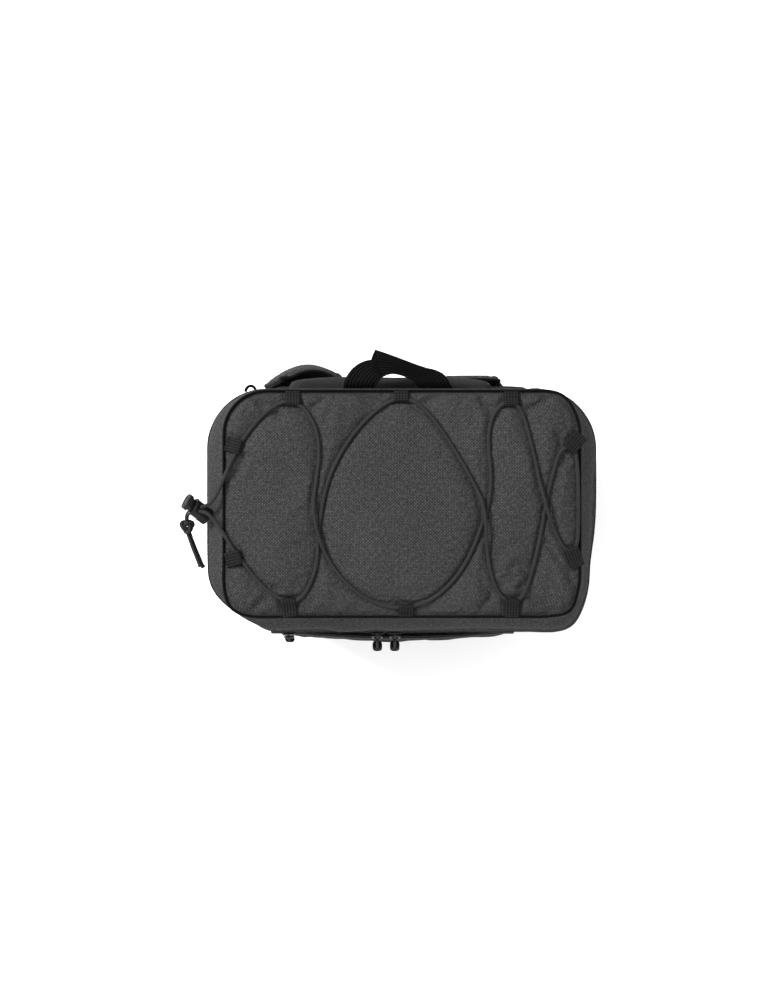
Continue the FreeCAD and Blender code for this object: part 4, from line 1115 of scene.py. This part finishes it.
def make_front_pocket():
    """The front pocket with its zipper under the lid."""
    ends = np.linspace(-1, 1, 76)
    x = POCKET_MIDDLE + POCKET_HALF * (ends + 0.05 * np.sin(math.pi * ends))
    z = np.concatenate([np.linspace(350, 326, 13), np.linspace(322, 100, 46),
                        [97.5, 95.2, 93.3, 91.9, 91.0, 90.4]])
    x, z = np.meshgrid(x, z)
    from_side = POCKET_HALF - np.abs(x - POCKET_MIDDLE)
    depth = np.interp(z, [90, 102, 326.6, 350], [6.0, 6.0, 6.0, 0.5])
    for part in (np.clip((z - 90) / 11, 0, 1), np.clip(from_side / 7, 0, 1)):
        depth = depth * np.sqrt(1 - (1 - part) ** 2)
    at = np.stack([x, np.zeros_like(x), z], 2)
    inside = ease(from_side, 3, 18) * ease(z, 94, 112) * (1 - ease(z, 322, 334))
    folds = 1.6 + 0.7 * ripple(at, 48, 81) + 0.35 * ripple(at, 17, 82)
    depth = depth + pocket_bulge(x, z) + inside * folds
    depth = depth - 1.1 * ease(z, 331.5, 333.5) * (1 - ease(z, 345.5, 347))
    points = np.stack([x, -108.1 - depth, z], 2)
    points = finer(relax(points, False, 1.5, 1.6, inside <= 0.5, -0.01, flip=True))
    cloth = add(grid("front_pocket_cloth", points), "shell", "body_fabric", "front_pocket",
                facing=(0, -1, 0))
    normals = surface_normals(points)
    left = int(np.argmin(np.abs(points[40, :, 0] - (POCKET_MIDDLE - POCKET_HALF + 5.5))))
    keep = (points[:, 0, 2] < 330) & (points[:, 0, 2] > 100)
    for column in (left, points.shape[1] - 1 - left):
        sew("shell", points[keep, column], normals[keep, column])
    for height in (329.5, 347.6):
        row = row_at(points, height)
        sew("shell", points[row, 8:-8], normals[row, 8:-8])

    def on_slope(x, s, out):
        y0 = -108.3 - s * math.sin(SLOPE) - out * math.cos(SLOPE)
        z0 = 350 - s * math.cos(SLOPE) + out * math.sin(SLOPE)
        return np.stack([x, y0 - pocket_bulge(x, np.full_like(x, 341.0)), np.full_like(x, z0)], -1)

    x = np.linspace(POCKET_MIDDLE - 112, POCKET_MIDDLE + 112, 180)
    slope_way = unit(np.array([0, -math.sin(SLOPE), -math.cos(SLOPE)]))
    halves = [webbing("half", on_slope(x, 11 + s * 4.4, 1.2), slope_way, 7.2, 0.8, 1.0, 0.03, 6)
              for s in (-1, 1)]
    add(merged("pocket_zip_tapes", halves), "shell", "zipper_tape", "pocket_zipper_tape")
    line = even(on_slope(x, 11, 1.5), TOOTH_PITCH)
    out = np.array([0, -math.cos(SLOPE), math.sin(SLOPE)])
    teeth = []
    for first, s in ((0, -1), (1, 1)):
        spot = line[first::2] + slope_way * s * 1.15
        axes = (np.tile(axis, (len(spot), 1)) for axis in (slope_way, [1.0, 0, 0], out))
        teeth.append(stamp("teeth", TOOTH, spot, *axes))
    add(merged("pocket_zip_teeth", teeth), "shell", "zipper_coil", "pocket_zipper_coil")


# ---------------------------------------------------------------- side pockets


POCKET_WALL = 174.5
POCKET_FOOT = 60.8


def make_side_pockets():
    """Two gathered side pockets with elastic round their mouths."""
    turn = np.linspace(0, 1, 72)
    heights = np.concatenate([[POCKET_FOOT, 61.2, 62.2, 64.0, 66.5, 70], np.linspace(75, 198, 36),
                              [200, 202.5, 204.6]])
    for name, side in (("left", -1), ("right", 1)):
        rows = []
        for height in heights:
            open_by = math.sqrt(1 - (1 - min((height - POCKET_FOOT) / 12, 1)) ** 2)
            gather = ease(height, 150, 198)
            reach = 14.2 * open_by + 0.4 - 1.2 * gather
            half = 59.2 - 0.8 * gather
            corner = min(13.5, reach * 0.98)
            straight = half - corner
            quarter = corner * math.pi / 2
            ends = np.cumsum([0, reach - corner, quarter, 2 * straight, quarter, reach - corner])
            s = turn * ends[-1]
            turned = np.clip(s - ends[1], 0, quarter) + np.clip(s - ends[3], 0, quarter)
            angle = turned / corner - math.pi / 2
            way = np.column_stack([np.cos(angle), np.sin(angle)])
            level = np.full(len(turn), height)
            x = ends[1] - np.maximum(ends[1] - s, 0) - np.maximum(s - ends[4], 0) + corner * way[:, 0]
            y = np.clip(s - ends[2], 0, 2 * straight) - straight + corner * way[:, 1]
            pleat = gather ** 2 * 0.7 * np.sin(turn * 2 * math.pi * 19 + 2 * np.sin(turn * 9))
            fade = np.minimum(ease(turn, 0.0, 0.06), 1 - ease(turn, 0.94, 1.0))
            at = np.column_stack([x, y, level])
            bulge = fade * (pleat + open_by * (0.5 * ripple(at, 36, 91) - 0.5))
            x, y = x + way[:, 0] * bulge, y + way[:, 1] * bulge
            rows.append(np.column_stack([side * (POCKET_WALL + x), y, level]))
        points = finer(np.array(rows))
        points[..., 0] = side * np.maximum(side * points[..., 0], 174.35)
        add(grid(f"side_pocket_cloth_{name}", points), "shell", "body_fabric", "side_pocket_" + name,
            facing=(side, 0, 0), thickness=1.0)
        mouth = points[row_at(points, 202.0)]
        centre = mouth[:, None]
        gathered = 1 + 0.05 * np.sin(np.arange(len(mouth)) * 1.3)[:, None, None]
        tube = centre + (rod(mouth, 1.0, 10) - centre) * (1.25, 1.25, 3.0) * gathered
        add_rings(f"side_pocket_elastic_{name}", tube, "shell", "binding", "side_pocket_elastics")


# ---------------------------------------------------------------- back, straps and handle


# The plane that the pads lie on, behind the body's back wall.
BACK = 108.35
YOKE_X = -10
YOKE_STITCH_Z = 309.5


def pad_rows(middle_x, low, top, half_width, back, thickness, rows, cols, corner, bow=0.0, cup=0.0):
    """Closed rings of a flat pad that stands against the back: the outer face, then the inner one."""
    points = []
    for t in np.linspace(0, 1, rows):
        z = low + (top - low) * (t - 0.35 / (2 * math.pi) * math.sin(2 * math.pi * t))
        end = min(z - low, top - z)
        cut = corner - math.sqrt(max(corner ** 2 - max(corner - end, 0) ** 2, 0)) if end < corner else 0.0
        half = (half_width(z) if callable(half_width) else half_width) - cut
        plump = math.sqrt(max(1 - (1 - min(end / 5.0 + 0.08, 1)) ** 2, 0.05))
        x = np.linspace(-1, 1, cols)
        x = x + 0.12 * np.sin(math.pi * x)
        x = x / np.abs(x).max()
        gap = (1 - np.abs(x)) * half
        rounded = np.clip(1 - (1 - np.minimum(gap / 5.0 + 0.06, 1)) ** 2, 0.03, 1)
        thin = thickness / 2 * plump * np.sqrt(rounded)
        out, curl = (bow(z), cup(z)) if callable(bow) else (bow, cup)
        mid = back + thickness / 2 + out - curl * x ** 2
        front = np.column_stack([x * half, mid + thin, np.full(cols, z)])
        rear = np.column_stack([x * half, mid - thin, np.full(cols, z)])[::-1]
        points.append(np.concatenate([front, rear]))
    points = np.array(points)
    points[..., 0] += middle_x
    return points


def trough(points, distance, width, depth):
    """Presses a sewn channel into a pad's outer face."""
    outer = np.clip((points[..., 1] - BACK) / 6.0, 0, 1)
    points[..., 1] -= depth * np.exp(-(distance / width) ** 2) * outer


def swollen(points, pressure, cap):
    """A pad after its filling has pushed its cloth out, with twice as many points."""
    return finer(relax(points, True, pressure, cap, flip=True), wrap_u=True)


def bind_rim(name, points, radius, body, level=False):
    """Binding round a pad's edge; level keeps each end of it at one distance from the back."""
    half = points.shape[1] // 2

    def middle(row):
        if level:
            return row[1:half - 1] * (1, 0, 1) + (0, (row[0, 1] + row[-1, 1]) / 2, 0)
        return (row[1:half - 1] + row[half + 1:-1][::-1]) / 2

    right, left = (points[:, 0] + points[:, -1]) / 2, (points[:, half] + points[:, half - 1]) / 2
    rim = np.concatenate([right, middle(points[-1]), left[::-1], middle(points[0])[::-1]])
    add_rings(name, rod(even(closed(rim), 3.0), radius, 10)[:-1], body, "binding", loop=True)


def two_faced(piece, inner_slot):
    """Gives a pad's inner face its own cloth."""
    piece.data.materials.append(LOOKS[inner_slot])
    for face in piece.data.polygons:
        if face.normal.y < -0.35:
            face.material_index = 1


def make_back():
    """The channelled back pad, the yoke and the sewn ends of the handle."""
    points = swollen(pad_rows(0, 86.4, 295.6, 123.5, BACK, 8.6, 42, 50, 22), 3.5, 1.6)
    x, z = points[..., 0], points[..., 2]
    trough(points, np.abs(x), 7, 5.0)
    for line in (-62, 62):
        trough(points, x - line, 3.2, 3.2)
    for line in (138, 191, 244):
        trough(points, (z - line) + 4 * np.abs(x) / 60, 3.2, 3.0)
    points[..., 1] = np.clip(points[..., 1], BACK - 0.1, 118.15)
    pad = add_rings("back_pad_cloth", points, "shell", "mesh_padding", "back_pad")
    bind_rim("back_pad_binding", points, 2.3, "shell", level=True)

    points = swollen(pad_rows(YOKE_X, 300.8, 349.6, 93.6, BACK, 10.2, 20, 52, 10), 4.0, 2.6)
    x, z = points[..., 0] - YOKE_X, points[..., 2]
    outer = np.clip((points[..., 1] - 112) / 5, 0, 1)
    points[..., 1] += outer * (2.2 * (1 - (x / 96) ** 4) * ease(z, 316, 343) + 0.5 * ripple(points, 34, 101))
    trough(points, z - YOKE_STITCH_Z, 1.8, 2.2)
    points[..., 1] = np.maximum(points[..., 1], BACK - 0.1)
    yoke = add_rings("yoke_cloth", points, "shell", "yoke_padding", "harness_yoke")
    half = points.shape[1] // 2
    row = row_at(points, YOKE_STITCH_Z, half // 2)
    sew("shell", points[row, 6:half - 6], surface_normals(points, True)[row, 6:half - 6])

    patches = []
    for x in (-39.5, 31.5):
        line = np.array([(x, 109.1, 351.0), (x, 109.1, 365.6)])
        patches.append(webbing("patch", line, (1, 0, 0), thickness=1.5))
        cross_stitch("shell", (x, 109.95, 358.3), (1, 0, 0), (0, 0, 1), 10.0, 5.4, (0, 1, 0))
    add(merged("handle_sewn_ends", patches), "shell", "webbing", "handle_anchors")


def cross_stitch(body, middle, across, up, half_width, half_height, out):
    """A sewn box with its two diagonals."""
    middle, across, up = (np.array(v, float) for v in (middle, across, up))
    corners = [middle + across * sx * half_width + up * sy * half_height
               for sx, sy in ((-1, -1), (1, -1), (1, 1), (-1, 1))]
    for a, b in ((0, 1), (1, 2), (2, 3), (3, 0), (0, 2), (1, 3)):
        sew(body, np.array([corners[a], corners[b]]), out, 2.9, 0.1)


HANDLE_RIBS = 9
# The handle's sheets: the near and the far edge in plan, and the lift over the sheet below.
HANDLE_SHEETS = [
    ([(-25.0, 109.6), (-23.2, 113.0), (-20.0, 118.5), (-15.5, 122.4), (-9.0, 123.9)],
     [(-53.0, 109.6), (-52.0, 118.0), (-47.2, 126.7), (-39.0, 133.9), (-28.5, 137.6), (-15.0, 137.5)], 0.0),
    ([(-17, 121), (-11, 123.9), (-4.5, 123.6), (3, 121.4), (9, 118), (13.5, 113.8), (15.5, 109.6)],
     [(-24.2, 146.3), (-8, 140.8), (8, 134.6), (22, 129.6), (32, 127.6), (40.5, 122.6), (47, 109.6)], 1.6),
    ([(-21.0, 144.4), (-17.0, 137.0), (-15.0, 130.0), (-14.5, 123.4)],
     [(-24.1, 145.8), (-28.2, 137.0), (-26.0, 129.0), (-19.4, 122.4)], 0.8),
]


def handle_sheet(near, far, lift):
    """One sheet of the folded handle, between two edges in plan and lifted over the sheet below it."""
    t, s = np.linspace(0, 1, 70)[:, None], np.linspace(0, 1, 56)[None]
    edges = []
    for edge in (near, far):
        line = even(rounded_line(edge, 2), 1.0)
        along = np.linspace(0, 1, len(line))
        edges.append(np.column_stack([np.interp(t[:, 0], along, line[:, k]) for k in range(2)])[:, None])
    plan = edges[0] * (1 - s[..., None]) + edges[1] * s[..., None]
    out = np.clip((plan[..., 1] - 109) / 9, 0, 1)
    droop = 1.5 * np.clip((plan[..., 1] - 122) / 25, 0, 1) ** 2
    z = 366.5 + 5.0 * np.sin(out * math.pi / 2) + lift + 0.4 * np.sin(3 * t + 2 * s) - droop
    ribs = 0.35 * np.sin(2 * math.pi * s * HANDLE_RIBS)
    upper = np.concatenate([plan, (z + 0.7 + ribs)[..., None]], 2)
    lower = np.concatenate([plan, (z - 0.7)[..., None]], 2)
    return grid("sheet", np.concatenate([upper, lower[:, ::-1]], 1), wrap_u=True, caps=True)


def make_handle():
    """The webbing carry handle, folded over itself in the middle as it flops back."""
    sheets = [handle_sheet(near, far, lift) for near, far, lift in HANDLE_SHEETS]
    loop = add(merged("handle_webbing", sheets), None, "webbing", "carry_handle")
    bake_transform(loop)


STRAP_PIVOT_Z = 300.0
STRAPS = {"left": (-82.0, 11.0, 12.5), "right": (62.0, -6.0, 1.5)}
PAD_BACK = 118.6
STRAP_QUILT = 7.5
ANCHOR_Y = 113.1


def splayed(points, x, degrees):
    """Points drawn about x = 0, turned about the strap's pivot and carried to its place."""
    points = np.array(points, float)
    angle = math.radians(degrees)
    dx, dz = points[..., 0].copy(), points[..., 2] - STRAP_PIVOT_Z
    points[..., 0] = x + dx * math.cos(angle) + dz * math.sin(angle)
    points[..., 2] = STRAP_PIVOT_Z - dx * math.sin(angle) + dz * math.cos(angle)
    return points


def make_strap(side):
    """A shoulder strap: the bound pad, its ladder lock, its webbing and the anchor at the base."""
    x, degrees, bow = STRAPS[side]
    body = "strap_" + side

    def half_width(z):
        return 29.0 - 12.0 * (1 - ease(z, 112, 175)) + 1.0 * ease(z, 250, 297)

    def out(z):
        if bow > 5:
            return bow * (ease(z, 118, 215) * (1 - 0.4 * ease(z, 262, 297)))
        return bow * max(0, 1 - ((z - 204.5) / 92) ** 2)

    def placed(points):
        return splayed(points, x, degrees)

    points = swollen(pad_rows(0, 112.5, 296.6, half_width, PAD_BACK + 0.6, 7.4, 46, 16, 9, out,
                              lambda z: 0.92 * out(z)), 3.0, 1.3)
    half = points.shape[1] // 2
    lx = points[..., 0]
    width = np.array([half_width(h) for h in points[:, 0, 2]])[:, None]
    outer = np.where(np.arange(2 * half) < half, 1, -1)
    points[..., 1] -= 0.9 * np.exp(-((np.abs(lx) - (width - STRAP_QUILT)) / 1.5) ** 2) * outer
    points[..., 1] = np.maximum(points[..., 1], PAD_BACK - 0.1)
    shaped = placed(points)
    pad = add_rings("strap_cloth_" + side, shaped, body, "body_fabric", "strap_pad_" + side)
    two_faced(pad, "mesh_padding")
    normals = surface_normals(shaped, True)
    for edge in (-1, 1):
        column = int(np.argmin(np.abs(lx[40, :half] - edge * (width[40, 0] - STRAP_QUILT))))
        sew(body, shaped[6:-6, column], normals[6:-6, column])
    bind_rim("strap_binding_" + side, shaped, 1.9, body)

    y, low = PAD_BACK + 4.5, 79.0
    ends = splayed([(0.0, 0, STRAP_PIVOT_Z), (1.0, 0, STRAP_PIVOT_Z)], 0, degrees)
    way = ends[1] - ends[0]
    loop = placed(rounded_line([(0, y - 3, 119.0), (0, y - 3, 104.6), (0, y, 101.8), (0, y + 3, 104.6),
                                (0, y + 3.6, 119.0), (0, y + 4.6, 130.0)], 2))
    add(webbing("strap_lock_loop_" + side, loop, way), body, "webbing")
    refined("ladder_lock_" + side, "strap_ladder_lock_" + side, body, "hard_plastic", 0.9)

    tension = placed(rounded_line([(0, ANCHOR_Y, 24), (0, ANCHOR_Y, 50), (0, y - 3.6, low + 2),
                                   (0, y - 3.0, low + 10.5), (0, y, low + 13.6)], 2))
    pull = add(webbing("strap_webbing_" + side, tension, way), None, "webbing", "adjuster_webbing_" + side)
    start, end = placed([(0, ANCHOR_Y, 50), (0, 118.9, 79)]) * MM
    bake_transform(pull)
    hanging = placed(rounded_line([(0, y, low + 13.6), (0, y + 3.2, low + 12), (0, y + 4.2, low + 4),
                                   (0, y + 4.6, low - 25), (0, y + 3.6, low - 38),
                                   (0, y + 4.0, low - 46)], 3))
    add(webbing("strap_webbing_tail_" + side, hanging, way), body, "webbing")
    fold = placed([(0, y + 5.3, low - 38.5), (0, y + 5.3, low - 46.5)])
    add(webbing("strap_webbing_hem_" + side, fold, way, thickness=1.3), body, "webbing")
    sew(body, placed([(-10.5, y + 6.1, low - 42), (10.5, y + 6.1, low - 42)]), (0, 1, 0), 2.9)
    patch = placed([(0, 110.9, 22.2), (0, 110.9, 49.8)])
    up = unit(patch[1] - patch[0])
    cross_stitch("shell", patch.mean(0) + (0, 3.1, 0) + up * -3.0, way, up, 9.5, 7.5, (0, 1, 0))
    return webbing("patch", patch, way, 32, 2.3, depth=0.1, cols=14)


# ---------------------------------------------------------------- small hard parts


def hoop(name, centre, a, b, radii, wire, count=64, end=2 * math.pi):
    """A ring, or part of one, in the plane of a and b."""
    whole = end > 6.28
    turn = np.linspace(0, end, count)[:, None]
    centre, a, b = (np.array(v, float) for v in (centre, a, b))
    tube = rod(centre + radii[0] * np.cos(turn) * a + radii[1] * np.sin(turn) * b, wire, 12)
    return grid(name, tube[:-1] if whole else tube, wrap_u=True, wrap_v=whole, caps=not whole)


def make_pull(pivot, tilt, high, low, body, nodes, name):
    """A slider's wire ring, with a corded grip that hangs from it."""
    angle = math.radians(tilt)
    pivot = np.array(pivot)

    def hang(points):
        points = np.asarray(points, float)
        y, z = points[..., 1], points[..., 2]
        return np.stack([points[..., 0], y * math.cos(angle) + z * math.sin(angle),
                         -y * math.sin(angle) + z * math.cos(angle)], -1) + pivot

    down = hang([(0, 0, -1.0)])[0] - pivot
    ring_piece = hoop(name + "_ring", pivot + down * 4.2, (1, 0, 0), down, (4.2, 4.2), 0.82)
    add(ring_piece, body, "slider_metal", nodes[0])
    line = rounded_line([(0, -2.4, high - 3), (0, -2.5, -13), (0, -1.9, -8.6), (0, 0, -6.4), (0, 1.9, -8.6),
                         (0, 2.5, -13), (0, 2.4, high - 3)], 3)
    loop = rod(hang(even(line, 0.6)), 1.25, 12, lambda turn, s: 0.08 * np.abs(np.sin(3 * turn + s * 1.4)))
    z = np.linspace(high, low, 44)
    size = np.sqrt(np.clip(1 - (1 - np.clip(np.minimum(high - z, z - low) / 2.0 + 0.1, 0, 1)) ** 2, 0.05, 1))
    size = (size * (1 - 0.07 * (np.cos((z - high) * 2 * math.pi / 1.9) > 0.2)))[:, None]
    across, through = np.cos(circle(24)), np.sin(circle(24))
    block = np.stack([size * 4.4 * np.sign(across) * np.abs(across) ** 0.7,
                      size * 3.7 * np.sign(through) * np.abs(through) ** 0.7,
                      np.repeat(z[:, None], 24, 1)], -1)
    meshes = [grid("loop", loop, wrap_u=True, caps=True), grid("grip", hang(block), wrap_u=True, caps=True)]
    add(merged(name + "_grip", meshes), body, "pull_cord", nodes[1])


LOCK_WIDE, LOCK_THIN = 7.85, 4.85


def make_hardware():
    """Sliders, pulls, the cord lock, the loops at the zipper's ends and the base board."""
    for side, x in (("left", -22.0), ("right", -6.0)):
        refined("lid_slider_" + side, "lid_zip_slider_" + side, "lid_slider_" + side, "slider_metal", 0.45)
        make_pull((x, -113.3, 379.7), 20.0, -27.0, -39.7, "lid_pull_" + side,
                  ("lid_pull_ring_" + side, "lid_pull_cord_" + side), "lid_zip_pull_" + side)
    refined("pocket_slider", "pocket_zip_slider", "pocket_slider", "slider_metal", 0.45)
    make_pull((-104.0, -117.04, 340.95), 7.0, -19.0, -29.0, "pocket_pull",
              ("pocket_pull_ring", "pocket_pull_cord"), "pocket_zip_pull")

    z = unit(np.array([-0.68, 0.54, 0.49]))
    x = unit(np.cross((-0.61, -0.06, -0.79), z))
    y = np.cross(z, x)
    centre = np.array([-180.7, 1.0, 418.0])
    refined("cord_lock_barrel", "cord_lock_body", "cord_lock", "hard_plastic", 0.55)
    refined("cord_lock_button", "cord_lock_plunger", "lock_button", "hard_plastic", 0.9)
    ribs = [hoop("rib", centre + z * w, x, y, (LOCK_WIDE, LOCK_THIN), 0.55)
            for w in (-10.6, -9.0, -7.4, -5.8, -4.2, 4.6)]
    add(merged("cord_lock_ribs", ribs), "cord_lock", "hard_plastic")
    cap = centre + z * 14.15
    dish = [hoop("dish", cap, x, y, (LOCK_WIDE * k - 1.6, LOCK_THIN * k - 1.1), 0.35) for k in (1.0, 0.72)]
    add(merged("cord_lock_plunger_rings", dish), "lock_button", "hard_plastic")

    standing = hoop("loop", (-137.0, 107.8, 370.0), (1, 0, 0), (0, 1, 0), (4.6, 5.4), 1.35, 40, math.pi)
    folded = hoop("loop", (122.0, 110.4, 360.0), (1, 0, 0), (0, 0, 1), (4.05, 4.05), 1.2)
    add(merged("zip_end_loops", [standing, folded]), "shell", "webbing", "zipper_end_loops")
    wind = np.linspace(0, 1, 120)[:, None]
    coil = centre + 2.4 * (np.cos(20 * wind) * x + np.sin(20 * wind) * y) + (5.3 * wind - 9.9) * z
    spring = add_rings("cord_lock_coil", rod(coil, 0.25, 8), "cord_lock", "spring_steel", "cord_lock_spring")
    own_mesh(spring)
    refined("base_board", "base_stiffener", "shell", "board", 1.0)


make_lid_top()
make_lid_sides()
make_lid_zipper()
make_body()
make_front_pocket()
make_side_pockets()
make_back()
make_handle()
anchors = [make_strap(side) for side in STRAPS]
add(merged("strap_anchor_patches", anchors), "shell", "webbing", "strap_anchors")
make_hardware()
finish_sewing()
